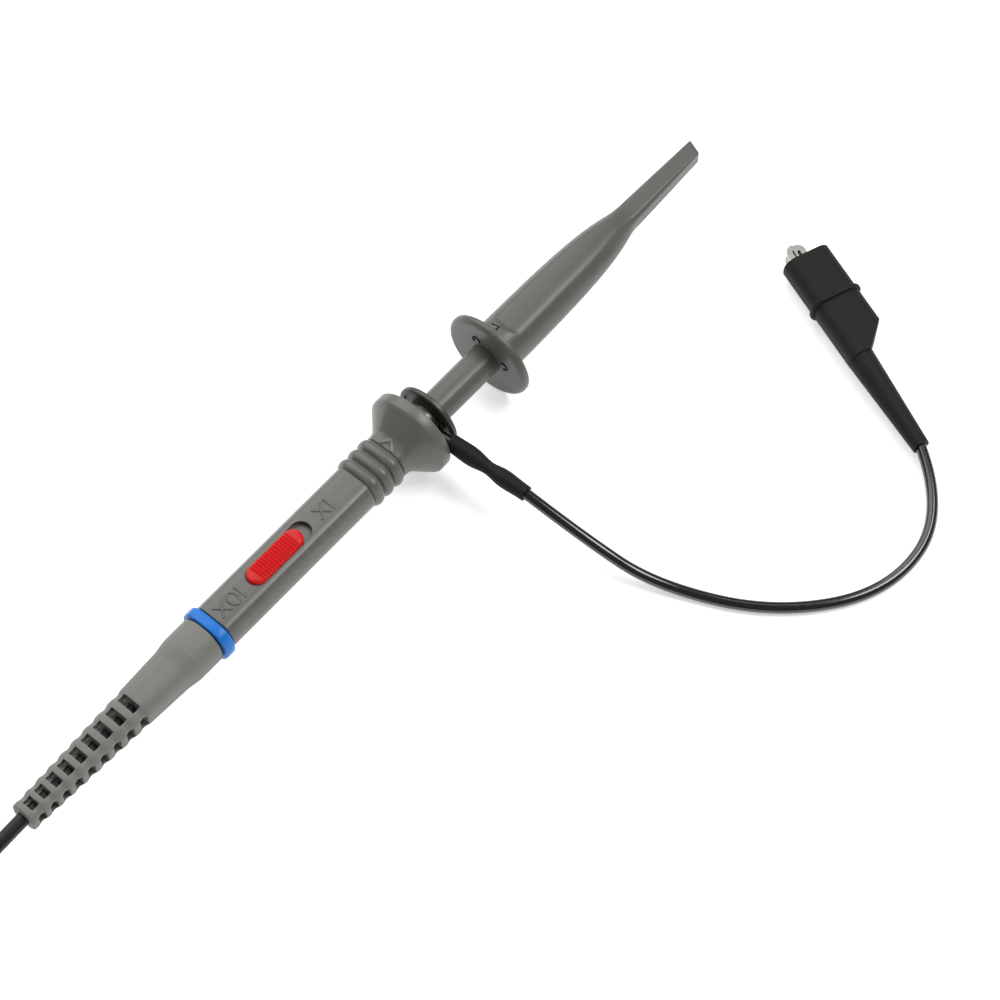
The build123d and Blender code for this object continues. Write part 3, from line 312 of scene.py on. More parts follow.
MATERIALS = {
    "relief_grey": paint(
        "relief_grey", (0.19, 0.188, 0.172), 0.55, grain=2.2, wear_and_edge_highlight=0.25, grain_size=0.4, mottle=0.12
    ),
    "handle_grey": paint("handle_grey", GREY, 0.36, grain=0.8, wear_and_edge_highlight=0.3, grain_size=0.25, gloss=0.5),
    "marker_blue": paint("marker_blue", (0.012, 0.175, 0.6), 0.32, grain=0.3, wear_and_edge_highlight=0.3, gloss=0.25),
    "switch_red": paint("switch_red", (0.6, 0.01, 0.01), 0.34, grain=0.3, wear_and_edge_highlight=0.2, gloss=0.25),
    "hook_grey": paint("hook_grey", HOOK_GREY, 0.38, grain=0.8, wear_and_edge_highlight=0.3, grain_size=0.25, gloss=0.45),
    "guard_dark": paint("guard_dark", (0.05, 0.052, 0.036), 0.35, grain=0.5, wear_and_edge_highlight=0.5),
    "cable_black": paint("cable_black", (0.012, 0.012, 0.013), 0.4, grain=0.6, grain_size=0.5, gloss=0.3),
    "lead_black": paint("lead_black", (0.008, 0.008, 0.009), 0.17, grain=0.25, coat=0.7, grain_size=0.8),
    "rubber_black": paint("rubber_black", (0.0105, 0.0105, 0.0105), 0.62, grain=1.4, wear_and_edge_highlight=0.2, gloss=0.2),
    "tie_black": webbing("tie_black", (0.02, 0.02, 0.022)),
    "connector_grey": paint("connector_grey", GREY, 0.45, grain=0.9, wear_and_edge_highlight=0.3, grain_size=0.3),
    "nickel": metal("nickel", (0.4, 0.39, 0.35), 0.28, tarnish=0.16),
    # nickel painted dark for the ground ring: painted shade in the gap between the shell's rim and the guard
    "shade_darkened_nickel": metal("shade_darkened_nickel", (0.13, 0.13, 0.115), 0.36, tarnish=0.5),
    "spring_steel": metal("spring_steel", (0.56, 0.56, 0.55), 0.26, stretch=(1, 6, 6)),
    "gold_brass": metal("gold_brass", (0.83, 0.62, 0.27), 0.2, tarnish=0.15),
    "dielectric_white": paint("dielectric_white", (0.83, 0.82, 0.78), 0.4, grain=0.4, mottle=0.03),
    "board_green": paint("board_green", (0.02, 0.13, 0.06), 0.3, grain=0.9, grain_size=0.5, coat=0.3),
    "component_body": paint("component_body", (0.28, 0.17, 0.09), 0.3, grain=0.4, coat=0.3),
}


def dress(piece, finish):
    """Gives a piece one of the materials, and no other."""
    piece.data.materials.clear()
    piece.data.materials.append(MATERIALS[finish])


def dress_cad_nodes():
    """Every CAD node in its slot's material; the ground ring is the same nickel painted much darker, as
    painted shade for the dark gap between the shell's rim and the guard.
    """
    for subpart in frame["record"]["subparts"]:
        dress(nodes[subpart["node"]], subpart["material_slot"])
    nodes["ground_ring"].data.materials[0] = MATERIALS["shade_darkened_nickel"]


# ---- cords ----

CABLE_D = 3.15 * MM
LEAD_D = 2.6 * MM
CABLE_ROUTE = (
    (-107.5, 0, 10.95),
    (-121.5, 0, 10.95),
    (-135, 0, 1.575),
    (-153, 0, 1.575),
)
LEAD_ROUTE = (
    (15.8, -28.65, 10.95),
    (16.6, -44, 8.6),
    (20.8, -60.5, 1.3),
    (32, -84, 1.3),
    (52, -99.5, 1.3),
    (75, -97, 1.3),
    (83.9, -83.4, 3),
)

# the put-away cable: each turn fills one cell of a grid three wide and three high, in this order,
# and moves to the next cell between the tie and the end of the turn
COIL_CENTRE = (-163, 22)
TURN_RADII = (15, 18.5, 22)
CELLS = ((2, 0), (1, 0), (0, 0), (0, 1), (0, 2), (1, 2), (1, 1), (2, 1), (2, 2))
MOVE_RANK = (5, 5, 4, 4, 3, 2, 1, 0)
MOVE_START = 0.43
MOVE_STEP = 0.053
MOVE_SPAN = 0.213
TURN_POINTS = 24
TIE_TURN = 0.375
TIE_SPAN = 0.08
TIE_LIFT = 0.6
CABLE_TAIL = ((-175, 0, 7.875), (-187, 0, 7.875))


def smooth(t):
    """Goes gently from 0 to 1 as t does."""
    t = min(1.0, max(0.0, t))
    return t * t * (3 - 2 * t)


def coil_points():
    """The turns of the coil, in mm, clockwise from above, starting and ending at the coil's near side."""
    points = []
    turns = len(MOVE_RANK)
    for index in range(turns * TURN_POINTS):
        progress = (index + 0.5) / TURN_POINTS
        turn = int(progress)
        part = progress - turn
        moved = smooth((part - MOVE_START - MOVE_STEP * MOVE_RANK[turn]) / MOVE_SPAN)
        (column, layer), (next_column, next_layer) = CELLS[turn], CELLS[turn + 1]
        radius = TURN_RADII[column] + moved * (TURN_RADII[next_column] - TURN_RADII[column])
        height = (0.5 + layer + moved * (next_layer - layer)) * CABLE_D / MM
        height += TIE_LIFT * smooth(1 - abs(part - TIE_TURN) / TIE_SPAN)
        radius /= cos(pi / TURN_POINTS)
        angle = -pi / 2 - 2 * pi * progress
        points.append((COIL_CENTRE[0] + radius * cos(angle), COIL_CENTRE[1] + radius * sin(angle), height))
    return points


def cord_curve(name, points, diameter, slot_name, resolution):
    """A round cord along a smooth NURBS line whose control points are given in mm."""
    curve = bpy.data.curves.new(name, "CURVE")
    curve.dimensions = "3D"
    spline = curve.splines.new("NURBS")
    spline.points.add(len(points) - 1)
    for target, point in zip(spline.points, points):
        target.co = (*[value * MM for value in point], 1)
    spline.order_u = 3
    spline.use_endpoint_u = True
    spline.resolution_u = resolution
    curve.bevel_depth = diameter / 2
    curve.bevel_resolution = 6
    curve.use_fill_caps = True
    curve.materials.append(MATERIALS[slot_name])
    return add_object(name, curve)


def objects_named(test):
    """The names of the scene's objects that pass a test."""
    return [name for name in bpy.data.objects.keys() if test(name)]


def make_cable():
    points = (*CABLE_ROUTE, *coil_points(), *CABLE_TAIL)
    cable = cord_curve("probe_cable", points, CABLE_D, "cable_black", 3)
    soft_connector = objects_named(lambda name: name.startswith("soft_connector"))
    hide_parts("cable", "cable_coil", "cable_plug_run")
    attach(cable, "handle")


def make_lead():
    lead = cord_curve("ground_wire", LEAD_ROUTE, LEAD_D, "lead_black", 16)
    soft_clip = objects_named(lambda name: name.startswith("soft_croc") or name.endswith("jaw_slot"))
    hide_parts("ground_lead")
    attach(lead, "ground")


# ---- moulded pieces drawn as rings of points round the handle's axis ----
#
# Stations run along the handle, in mm from the rear of the relief; sizes are distances from its axis.

RING_POINTS = 240
SMOOTH_ANGLE = radians(32)
OPEN = 100.0  # the distance to a flat where there is none
BEYOND = 9  # past the outside of the handle, for cutters
ROUND_STEPS = 4
SLOT_END_STEPS = 24


def soft_min(a, b, width):
    """The smaller of two sizes, rounded over where they are within width of one another."""
    overlap = max(width - abs(a - b), 0.0)
    return min(a, b) - overlap * overlap / (4 * width)


def soft_max(a, b, width):
    """The larger of two sizes, rounded in where they are within width of one another."""
    return -soft_min(-a, -b, width)


def between(table, x):
    """Straight-line reading of a short table of (x, value) pairs, level before and after it."""
    for (x0, value0), (x1, value1) in zip(table, table[1:]):
        if x <= x1:
            return value0 + (value1 - value0) * max(0.0, x - x0) / (x1 - x0)
    return table[-1][1]


def flat_reach(height, angle):
    """Distance from the axis to a flat at this height, looking out along this angle."""
    lift = sin(angle)
    return min(OPEN, height / lift) if lift > 0 else OPEN


def box_reach(half_y, half_z, corner, angle):
    """Distance from the axis to the outline of a rounded rectangle, looking out along this angle."""
    across, up = max(abs(cos(angle)), 1e-6), max(abs(sin(angle)), 1e-6)
    side, top = half_y / across, half_z / up
    if side * up <= half_z - corner:
        return side
    if top * across <= half_y - corner:
        return top
    middle = (half_y - corner) * across + (half_z - corner) * up
    spread = (half_y - corner) ** 2 + (half_z - corner) ** 2 - corner**2
    return middle + sqrt(max(0.0, middle * middle - spread))


def stations(start, end, step):
    """Even stations from start to end, about a step apart."""
    count = max(1, round((end - start) / step))
    return [start + (end - start) * index / count for index in range(count + 1)]


def quarter_round(rounding):
    """Points of a rounded edge, as distances in from an end and in from a side, starting at the end."""
    turns = [index * pi / 2 / ROUND_STEPS for index in range(ROUND_STEPS + 1)]
    return [(rounding * (1 - sin(turn)), rounding * (1 - cos(turn))) for turn in turns]


def rounded_ends(profile, rounding):
    """Quarter-round edges that lead onto a profile's first station and off its last one."""
    (first, first_size), (last, last_size) = profile[0], profile[-1]
    edge = quarter_round(rounding)
    opening = [(first + back, first_size - inset) for back, inset in reversed(edge)]
    closing = [(last - back, last_size - inset) for back, inset in edge]
    return opening, closing


def rings(profile, reach, lean=None):
    """Rings of points: one for each (station, size) of the profile, reach(station, size, angle) from the
    axis, each point moved along the handle by lean(station, side) if given."""
    made = []
    for station, size in profile:
        ring = []
        for index in range(RING_POINTS):
            angle = 2 * pi * (index + 0.5) / RING_POINTS
            distance = reach(station, size, angle)
            side, height = distance * cos(angle), distance * sin(angle)
            shift = lean(station, side) if lean else 0.0
            ring.append(place(station + shift, side, height))
        made.append(ring)
    return made


def finish_mesh(work, mesh):
    """Faces shaded round except across corners sharper than SMOOTH_ANGLE."""
    for face in work.faces:
        face.smooth = True
    for edge in work.edges:
        edge.smooth = len(edge.link_faces) == 2 and edge.calc_face_angle(0) < SMOOTH_ANGLE
    work.to_mesh(mesh)
    work.free()


def close_walls(work, row, following):
    """Faces between two closed rows of as many points."""
    for index in range(len(row)):
        after = (index + 1) % len(row)
        work.faces.new((row[index], row[after], following[after], following[index]))


def block_cutter(blocks):
    """One mesh of separate boxes, each given by its low and high corners as (station, side, height)."""
    work = bmesh.new()
    for low, high in blocks:
        corners = bmesh.ops.create_cube(work, size=1.0)["verts"]
        for corner in corners:
            mixed = [a + (b - a) * (value + 0.5) for a, b, value in zip(low, high, corner.co)]
            corner.co = place(*mixed)
    return work


def slot_cutter(start, end, half, low, high):
    """A prism with round ends, standing up through the top of the handle."""
    work = bmesh.new()
    outline = []
    for middle, turn in ((start + half, 0.5), (end - half, 1.5)):
        for index in range(SLOT_END_STEPS + 1):
            angle = pi * (turn + index / SLOT_END_STEPS)
            outline.append((middle + half * cos(angle), half * sin(angle)))
    lower = [work.verts.new(place(station, side, low)) for station, side in outline]
    upper = [work.verts.new(place(station, side, high)) for station, side in outline]
    work.faces.new(list(reversed(lower)))
    work.faces.new(upper)
    close_walls(work, lower, upper)
    return work


def cut_from(piece, cutter_work):
    """Takes a cutter's solid away from a piece."""
    cutter_mesh = bpy.data.meshes.new("cutter")
    cutter_work.to_mesh(cutter_mesh)
    cutter_work.free()
    cutter = add_object("cutter", cutter_mesh)
    cut = piece.modifiers.new("cut", "BOOLEAN")
    cut.operation = "DIFFERENCE"
    cut.solver = "EXACT"
    cut.object = cutter
    shapes = bpy.context.evaluated_depsgraph_get()
    result = bpy.data.meshes.new_from_object(piece.evaluated_get(shapes))
    piece.modifiers.clear()
    piece.data = result
    bpy.data.objects.remove(cutter)
    bpy.data.meshes.remove(cutter_mesh)


def skin(name, all_rings, body, slot_name, replaced, cutters=()):
    """A closed piece through the rings, less the cutters, which stands for a CAD node."""
    work = bmesh.new()
    rows = [[work.verts.new(point) for point in ring] for ring in all_rings]
    for row, following in zip(rows, rows[1:]):
        close_walls(work, row, following)
    work.faces.new(list(reversed(rows[0])))
    work.faces.new(rows[-1])
    mesh = bpy.data.meshes.new(name)
    work.to_mesh(mesh)
    work.free()
    piece = add_object(name, mesh)
    for cutter in cutters:
        cut_from(piece, cutter)
    work = bmesh.new()
    work.from_mesh(piece.data)
    finish_mesh(work, piece.data)
    dress(piece, slot_name)
    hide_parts(replaced)
    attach(piece, body)


# ---- strain relief ----

RELIEF_CONE_END, RELIEF_HEAD_START = 43.6, 47.0
RELIEF_SIDES = ((0.0, 6.1), (RELIEF_CONE_END, 9.3), (RELIEF_HEAD_START, 10.85), (53.4, 10.85))
RELIEF_CORNERS = ((RELIEF_CONE_END, 0.36), (RELIEF_HEAD_START, 0.46))
RELIEF_BULGE = 0.12
RELIEF_BULGE_SHARES = ((RELIEF_CONE_END, 1), (RELIEF_HEAD_START, 0.3))
RELIEF_ROUND, RELIEF_MOUTH_R = 0.35, 2.6
RELIEF_FIRST, RELIEF_LAST_GAP, RELIEF_STEP = 0.5, 0.4, 0.22
WINDOW_COUNT = 9
WINDOW_FIRST, WINDOW_PITCH, WINDOW_STRETCH = 2.6, 3.3, 0.035
WINDOW_LENGTH = 2.1
WINDOW_WIDTH, WINDOW_WIDTH_GROWTH = 2.75, 0.22
SIDE_WINDOW = 0.46
SCALLOP, SCALLOP_REACH, TOP_SCALLOP = 0.55, 0.75, 0.5
SCALLOP_FADE_START, SCALLOP_FADE_RUN = 0.7, 0.25


def window_middle(number):
    """Station of the middle of one of the relief's windows, which stand further apart up the relief."""
    return WINDOW_FIRST + number * WINDOW_PITCH + number**2 * WINDOW_STRETCH


def scallop(station):
    """Depth of the grooves that run down the relief's sides between its ribs."""
    depth = 0.0
    for number in range(WINDOW_COUNT):
        away = (station - window_middle(number)) / (WINDOW_LENGTH * SCALLOP_REACH)
        if abs(away) < 1:
            depth = SCALLOP * cos(away * pi / 2) ** 2
    return depth


def relief_reach(station, inset, angle):
    """The relief is a square with round corners and slightly full faces, scalloped between its ribs."""
    half = between(RELIEF_SIDES, station) / 2 - inset
    reach = box_reach(half, half, 2 * half * between(RELIEF_CORNERS, station), angle)
    side_share = smooth((abs(cos(angle)) - SCALLOP_FADE_START) / SCALLOP_FADE_RUN)
    bulge = RELIEF_BULGE * cos(2 * angle) ** 2 * between(RELIEF_BULGE_SHARES, station)
    return reach + bulge - scallop(station) * max(side_share, TOP_SCALLOP)


def relief_windows():
    """Cutters for the windows: one through from top to bottom, one from side to side."""
    upright = []
    across = []
    for number in range(WINDOW_COUNT):
        middle = window_middle(number)
        half_width = (WINDOW_WIDTH + number * WINDOW_WIDTH_GROWTH) / 2
        side_half = SIDE_WINDOW * between(RELIEF_SIDES, middle) / 2
        start, stop = middle - WINDOW_LENGTH / 2, middle + WINDOW_LENGTH / 2
        upright.append(((start, -half_width, -BEYOND), (stop, half_width, BEYOND)))
        across.append(((start, -BEYOND, -side_half), (stop, BEYOND, side_half)))
    return [block_cutter(upright), block_cutter(across)]


def make_relief():
    end = RELIEF_SIDES[-1][0]
    edge = quarter_round(RELIEF_ROUND)
    profile = [(0.0, RELIEF_MOUTH_R), *reversed(edge)]
    profile += [(station, 0.0) for station in stations(RELIEF_FIRST, end - RELIEF_LAST_GAP, RELIEF_STEP)]
    profile += [(end - back, inset) for back, inset in edge]
    made = rings(profile, relief_reach)
    skin("moulded_relief", made, "handle", "relief_grey", "strain_relief", relief_windows())


# ---- marker ring and handle shell ----

MARKER_START, MARKER_END, MARKER_R, MARKER_BORE_R = 53.72, 56.3, 6.35, 3.6
MARKER_ROUND, MARKER_EDGE = 0.4, 1.6

SHELL_START, SHELL_FRONT, SHELL_R, SHELL_MOUTH_R = 56.66, 120.0, 5.5, 3.0
SHELL_ROUND = 0.3
FLAT_H, FLAT_EDGE = 4.5, 0.9
BEADS = (102.45, 105.5, 108.6)
BEAD_HEIGHT, BEAD_ARC, BEAD_FOOT, BEAD_EDGE = 0.7, 1.578, 1.311, 1.5
BEAD_GAP, BEAD_CREASE = 0.214, 0.32
FLAT_END_START, FLAT_END_RISE, FLAT_END_RUN = 110.4, 0.6, 3.0
CHEVRON_TIP, CHEVRON_SLOPE, CHEVRON_HALF, CHEVRON_FADE = 112.1, 1.06, 1.7, 0.4
CHEVRON_HEIGHT, CHEVRON_WIDTH = 0.24, 0.42
NECK_START, NECK_END = 110, 114
FLARE_START, FLARE_SLOPE, FLARE_BLEND = 112.48, 0.977, 0.8
RIM_START, RIM_R = 117.3, 10.2
RIM_EDGE = ((-0.12, 0.22), (0.02, 0.07), (0.2, 0.0))
DISH_R, DISH_EDGE, DISH_STATION, DISH_FLOOR_R = 9.0, 0.15, 118.0, 5.3
NOSE_BORE_R, NOSE_BORE_DEPTH = 2.82, 4
SLOT_START, SLOT_END, SLOT_HALF, SLOT_FLOOR = 67.5, 86.1, 2.55, 2.25
BARREL_STEP, BEAD_STEP, NECK_STEP, FLARE_STEP = 1.2, 0.11, 0.07, 0.3


def marker_reach(station, radius, angle):
    """The ring stands out from the shell as far on the flat as round it."""
    flat = FLAT_H + radius - SHELL_R
    return soft_min(radius, flat_reach(flat, angle), MARKER_EDGE)


def make_marker_ring():
    opening, closing = rounded_ends([(MARKER_START, MARKER_R), (MARKER_END, MARKER_R)], MARKER_ROUND)
    profile = [(MARKER_START, MARKER_BORE_R), *opening, *closing, (MARKER_END, MARKER_BORE_R)]
    skin("moulded_marker", rings(profile, marker_reach), "handle", "marker_blue", "marker_ring")


def shell_size(station):
    """Distance from the axis to the round part of the handle shell."""
    size = SHELL_R
    for bead in BEADS:
        away = abs(station - bead)
        if away < BEAD_FOOT:
            size = SHELL_R + BEAD_HEIGHT - BEAD_ARC + sqrt(BEAD_ARC**2 - away**2)
    past = station - FLARE_START
    flare = FLARE_SLOPE * 0.5 * (past + sqrt(past * past + FLARE_BLEND**2))
    return size + flare * smooth(station - NECK_START)


def shell_reach(station, radius, angle):
    """The shell is round with a flat on top, which rises and ends in a chevron on the neck."""
    if station > RIM_START - 0.3:
        return radius
    side = abs(FLAT_H * cos(angle) / max(sin(angle), 0.1))
    flat = FLAT_H + radius - SHELL_R + FLAT_END_RISE * smooth((station - FLAT_END_START) / FLAT_END_RUN)
    off_chevron = (station - CHEVRON_TIP + CHEVRON_SLOPE * side) / CHEVRON_WIDTH
    flat += CHEVRON_HEIGHT * exp(-(off_chevron**2)) * smooth((CHEVRON_HALF - side) / CHEVRON_FADE + 0.5)
    edge = FLAT_EDGE + (BEAD_EDGE - FLAT_EDGE) * smooth((radius - SHELL_R) / BEAD_HEIGHT)
    return soft_min(radius, flat_reach(flat, angle), edge)


def bead_profile():
    """The beads before the neck, with a crease at each foot."""
    profile = []
    for bead in BEADS:
        profile.append((bead - BEAD_FOOT - BEAD_GAP, SHELL_R - BEAD_CREASE))
        for station in stations(bead - BEAD_FOOT, bead + BEAD_FOOT, BEAD_STEP):
            profile.append((station, shell_size(station)))
    profile.append((BEADS[-1] + BEAD_FOOT + BEAD_GAP, SHELL_R - BEAD_CREASE))
    return profile


def make_shell():
    opening, closing = rounded_ends([(SHELL_START, SHELL_R), (SHELL_FRONT, RIM_R)], SHELL_ROUND)
    barrel = stations(SHELL_START + 0.4, BEADS[0] - BEAD_FOOT - 2 * BEAD_GAP, BARREL_STEP)
    neck = stations(BEADS[-1] + BEAD_FOOT + 2 * BEAD_GAP, NECK_END, NECK_STEP)
    neck += stations(NECK_END + 0.2, RIM_START - 0.35, FLARE_STEP)
    profile = [(SHELL_START, SHELL_MOUTH_R), *opening]
    profile += [(station, SHELL_R) for station in barrel]
    profile += bead_profile()
    profile += [(station, shell_size(station)) for station in neck]
    profile += [(RIM_START + ahead, RIM_R - inset) for ahead, inset in RIM_EDGE]
    profile += [*closing, (SHELL_FRONT, DISH_R + DISH_EDGE), (SHELL_FRONT - DISH_EDGE, DISH_R)]
    profile += [(DISH_STATION, DISH_FLOOR_R), (DISH_STATION, NOSE_BORE_R)]
    profile += [(DISH_STATION - NOSE_BORE_DEPTH, NOSE_BORE_R)]
    cutter = slot_cutter(SLOT_START, SLOT_END, SLOT_HALF, SLOT_FLOOR, BEYOND)
    skin("moulded_shell", rings(profile, shell_reach), "handle", "handle_grey", "body_shell", [cutter])


# ---- hook sheath ----

SHEATH_START, SHEATH_FLANGE_END, FLANGE_R = 143.3, 145.1, 10.95
FLANGE_FACE_R, FLANGE_ROUND, FLANGE_ROUND_STEPS = 9.2, 1.2, 6
FLANGE_FRONT_EDGE = ((-0.2, 0.0), (-0.06, 0.06), (0.0, 0.2))
FLANGE_FOOT = ((0.0, 0.35), (0.1, 0.1))
SHEATH_R, SHEATH_BORE_R, SPRING_SEAT = 6.05, 3.79, 172.0
SHEATH_DROP, SHEATH_DROP_LENGTH, SHEATH_LEAST_R = 0.0334, 10.0, 1.5
SHEATH_FLAT, SHEATH_FLAT_TURN, SHEATH_FLAT_SLOPE = 5.5, 165.0, 0.035
SHEATH_FLAT_START, SHEATH_FLAT_CURVE, SHEATH_FLAT_RISE, SHEATH_FLAT_RUN = 149.9, 0.2, 1.2, 1.8
SHEATH_EDGE = 1.1
SNOUT_START, SNOUT_BLEND = 183.0, 0.6
SNOUT_TAPER_START, SNOUT_SIDES, SNOUT_CORNERS = 186.0, (5.85, 3.9), (1.7, 0.5)
SNOUT_LEAN, LEAN_START, LEAN_RUN = 0.36, 205.0, 6.0
TIP_STATION = 216.1
TIP_EDGE = ((0.1, 0.04), (0.02, 0.12), (0.0, 0.22))
TIP_OPENING, TIP_OPENING_CORNER, TIP_OPENING_DEPTH = (0.65, 1.5), 0.6, 9

# start, end and step of the rings from the flange to the snout, closer where the flat and the snout start
SHEATH_STEPS = (
    (SHEATH_FLANGE_END + 0.35, 147.4, 0.5),
    (147.5, 151.5, 0.1),
    (151.8, 182.8, 0.8),
    (SNOUT_START, 194.8, 0.25),
)
SNOUT_STEPS = (195.5, TIP_STATION - 0.35, 1.0)


def sheath_size(station):
    """Distance from the axis to the round part of the sheath, which falls away faster and faster."""
    return SHEATH_R - SHEATH_DROP * (exp((station - SHEATH_FLANGE_END) / SHEATH_DROP_LENGTH) - 1)


def snout_reach(station, inset, angle):
    """The snout is a square with round corners that tapers to the tip."""
    share = (station - SNOUT_TAPER_START) / (TIP_STATION - SNOUT_TAPER_START)
    half = (SNOUT_SIDES[0] + (SNOUT_SIDES[1] - SNOUT_SIDES[0]) * share) / 2 - inset
    corner = SNOUT_CORNERS[0] + (SNOUT_CORNERS[1] - SNOUT_CORNERS[0]) * share
    return box_reach(half, half, corner, angle)


def sheath_reach(station, size, angle):
    """Round in the bore and at the flange; ahead of it round with a flat on top, growing into the snout."""
    if size > SHEATH_R + 0.01 or size == SHEATH_BORE_R:
        return size
    flat = SHEATH_FLAT - SHEATH_FLAT_SLOPE * max(0.0, station - SHEATH_FLAT_TURN)
    side = flat * cos(angle) / max(sin(angle), 0.1)
    flat_start = SHEATH_FLAT_START + SHEATH_FLAT_CURVE * abs(side)
    flat += SHEATH_FLAT_RISE * smooth((flat_start - station) / SHEATH_FLAT_RUN)
    reach = soft_min(max(size, SHEATH_LEAST_R), flat_reach(flat, angle), SHEATH_EDGE)
    if station > SNOUT_START:
        reach = soft_max(reach, snout_reach(station, 0.0, angle), SNOUT_BLEND)
    return reach


def opening_reach(station, size, angle):
    """The hook's opening keeps one outline all the way in."""
    return box_reach(*TIP_OPENING, TIP_OPENING_CORNER, angle)


def tip_lean(station, side):
    """The tip is cut on a slant, longer on the +Y side."""
    share = smooth((station - LEAN_START) / LEAN_RUN)
    return -SNOUT_LEAN * (SNOUT_SIDES[1] / 2 - side) * share


def flange_profile():
    """The finger flange, from its rear face over its rim to its foot on the sheath."""
    profile = [(SHEATH_START, FLANGE_FACE_R)]
    for index in range(FLANGE_ROUND_STEPS + 1):
        turn = index * pi / (2 * FLANGE_ROUND_STEPS)
        back, inset = FLANGE_ROUND * (1 - cos(turn)), FLANGE_ROUND * (1 - sin(turn))
        profile.append((SHEATH_START + back, FLANGE_R - inset))
    profile += [(SHEATH_FLANGE_END + ahead, FLANGE_R - inset) for ahead, inset in FLANGE_FRONT_EDGE]
    profile += [(SHEATH_FLANGE_END + ahead, SHEATH_R + out) for ahead, out in FLANGE_FOOT]
    return profile


def make_sheath():
    profile = [(SPRING_SEAT, SHEATH_BORE_R), (SHEATH_START, SHEATH_BORE_R), *flange_profile()]
    for steps in SHEATH_STEPS:
        profile += [(station, sheath_size(station)) for station in stations(*steps)]
    snout = [(station, 0.0) for station in stations(*SNOUT_STEPS)]
    snout += [(TIP_STATION - back, inset) for back, inset in TIP_EDGE]
    opening = [(TIP_STATION, 0.0), (TIP_STATION - TIP_OPENING_DEPTH, 0.0)]
    made = rings(profile, sheath_reach)
    made += rings(snout, snout_reach, tip_lean)
    made += rings(opening, opening_reach, tip_lean)
    skin("moulded_sheath", made, "sheath", "hook_grey", "hook_sheath")


# ---- raised strokes and dark lines; the flange's arcs are painted shade ----

# name, text and first station of each mark on the handle
MARKS = (("mark_10x", "10X", 65.5), ("mark_1x", "1X", 93.1))
MARK_HEIGHT = 3.3
MARK_WIDTHS = {"1": 1.0, "0": 2.35, "X": 2.75}
MARK_GAP = 0.65
STROKE_R, STROKE_SINK = 0.33, 0.11
ONE_FLAG, ONE_STEM = 0.78, 0.75
OVAL_POINTS = 36
DARK_LINE_R = 0.32
ARC_MIDDLE, ARC_SPREAD, ARC_DISTANCE = 110.0, 50.0, 5.4
ARC_R, ARC_SWEEP, ARC_STEPS, ARC_SINK = 0.95, 230.0, 16, 0.1
CORNER_MARK = ((148.3, 2.45), (148.4, 0.6), (147.4, 0.7))
CORNER_MARK_LINE, CORNER_MARK_SINK = 0.7, 0.06


def wire_curve(name, points, radius, slot_name, closed=False):
    """A round wire through points in metres."""
    curve = bpy.data.curves.new(name, "CURVE")
    curve.dimensions = "3D"
    spline = curve.splines.new("POLY")
    spline.points.add(len(points) - 1)
    for target, point in zip(spline.points, points):
        target.co = (*point, 1)
    spline.use_cyclic_u = closed
    curve.bevel_depth = radius
    curve.bevel_resolution = 4
    curve.use_fill_caps = True
    curve.materials.append(MATERIALS[slot_name])
    return add_object(name, curve)


def stroke(name, points, radius, body, slot_name, closed=False):
    """A rounded line that stands a little out of the surface it lies in."""
    line = wire_curve(name, points, radius, slot_name, closed)
    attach(line, body)


def glyph_strokes(glyph):
    """The strokes of a character as (right, up) points, in mm, and whether each closes on itself."""
    width = MARK_WIDTHS[glyph]
    if glyph == "1":
        stem = width * ONE_STEM
        return [([(0, MARK_HEIGHT * ONE_FLAG), (stem, MARK_HEIGHT), (stem, 0)], False)]
    if glyph == "X":
        return [([(0, 0), (width, MARK_HEIGHT)], False), ([(0, MARK_HEIGHT), (width, 0)], False)]
    oval = []
    for index in range(OVAL_POINTS):
        angle = 2 * pi * index / OVAL_POINTS
        oval.append((width / 2 * (1 + cos(angle)), MARK_HEIGHT / 2 * (1 + sin(angle))))
    return [(oval, True)]


def write_mark(name, text, start):
    """Characters on the handle's flat, read towards the relief, from their first station."""
    height = FLAT_H - STROKE_SINK
    across = 0.0
    for place_in_text, glyph in enumerate(text):
        for number, (points, closed) in enumerate(glyph_strokes(glyph)):
            line = [place(start - across - right, MARK_HEIGHT / 2 - up, height) for right, up in points]
            label = f"{name}_{place_in_text + 1}_{number + 1}"
            stroke(label, line, STROKE_R * MM, "handle", "handle_grey", closed)
        across += MARK_WIDTHS[glyph] + MARK_GAP


def make_flange_arcs():
    """Two dark arcs on the flange's rear face: painted shade, standing in for the shade inside two
    arc-shaped slots there.
    """
    for number, turn in enumerate((-ARC_SPREAD, ARC_SPREAD)):
        middle = radians(ARC_MIDDLE + turn)
        centre_side, centre_height = ARC_DISTANCE * cos(middle), ARC_DISTANCE * sin(middle)
        points = []
        for index in range(ARC_STEPS + 1):
            angle = middle + radians(ARC_SWEEP) * (index / ARC_STEPS - 0.5)
            side, height = centre_side + ARC_R * cos(angle), centre_height + ARC_R * sin(angle)
            points.append(place(SHEATH_START + ARC_SINK, side, height))
        stroke(f"flange_arc_{number + 1}", points, DARK_LINE_R * MM, "sheath", "rubber_black")


def make_corner_mark():
    """A small dark corner on the sheath, just ahead of the flange."""
    corner = []
    for station, side in CORNER_MARK:
        corner.append(place(station, side, sqrt(SHEATH_R**2 - side**2) - CORNER_MARK_SINK))
    stroke("corner_mark", corner, CORNER_MARK_LINE * DARK_LINE_R * MM, "sheath", "rubber_black")


def make_marks():
    for name, text, start in MARKS:
        write_mark(name, text, start)
    make_flange_arcs()
    make_corner_mark()


# ---- hook spring ----

SPRING_START, SPRING_END = 150.1, 171.6
SPRING_R, SPRING_WIRE_R, SPRING_TURNS, SPRING_TURN_POINTS = 3.0, 0.275, 9, 28


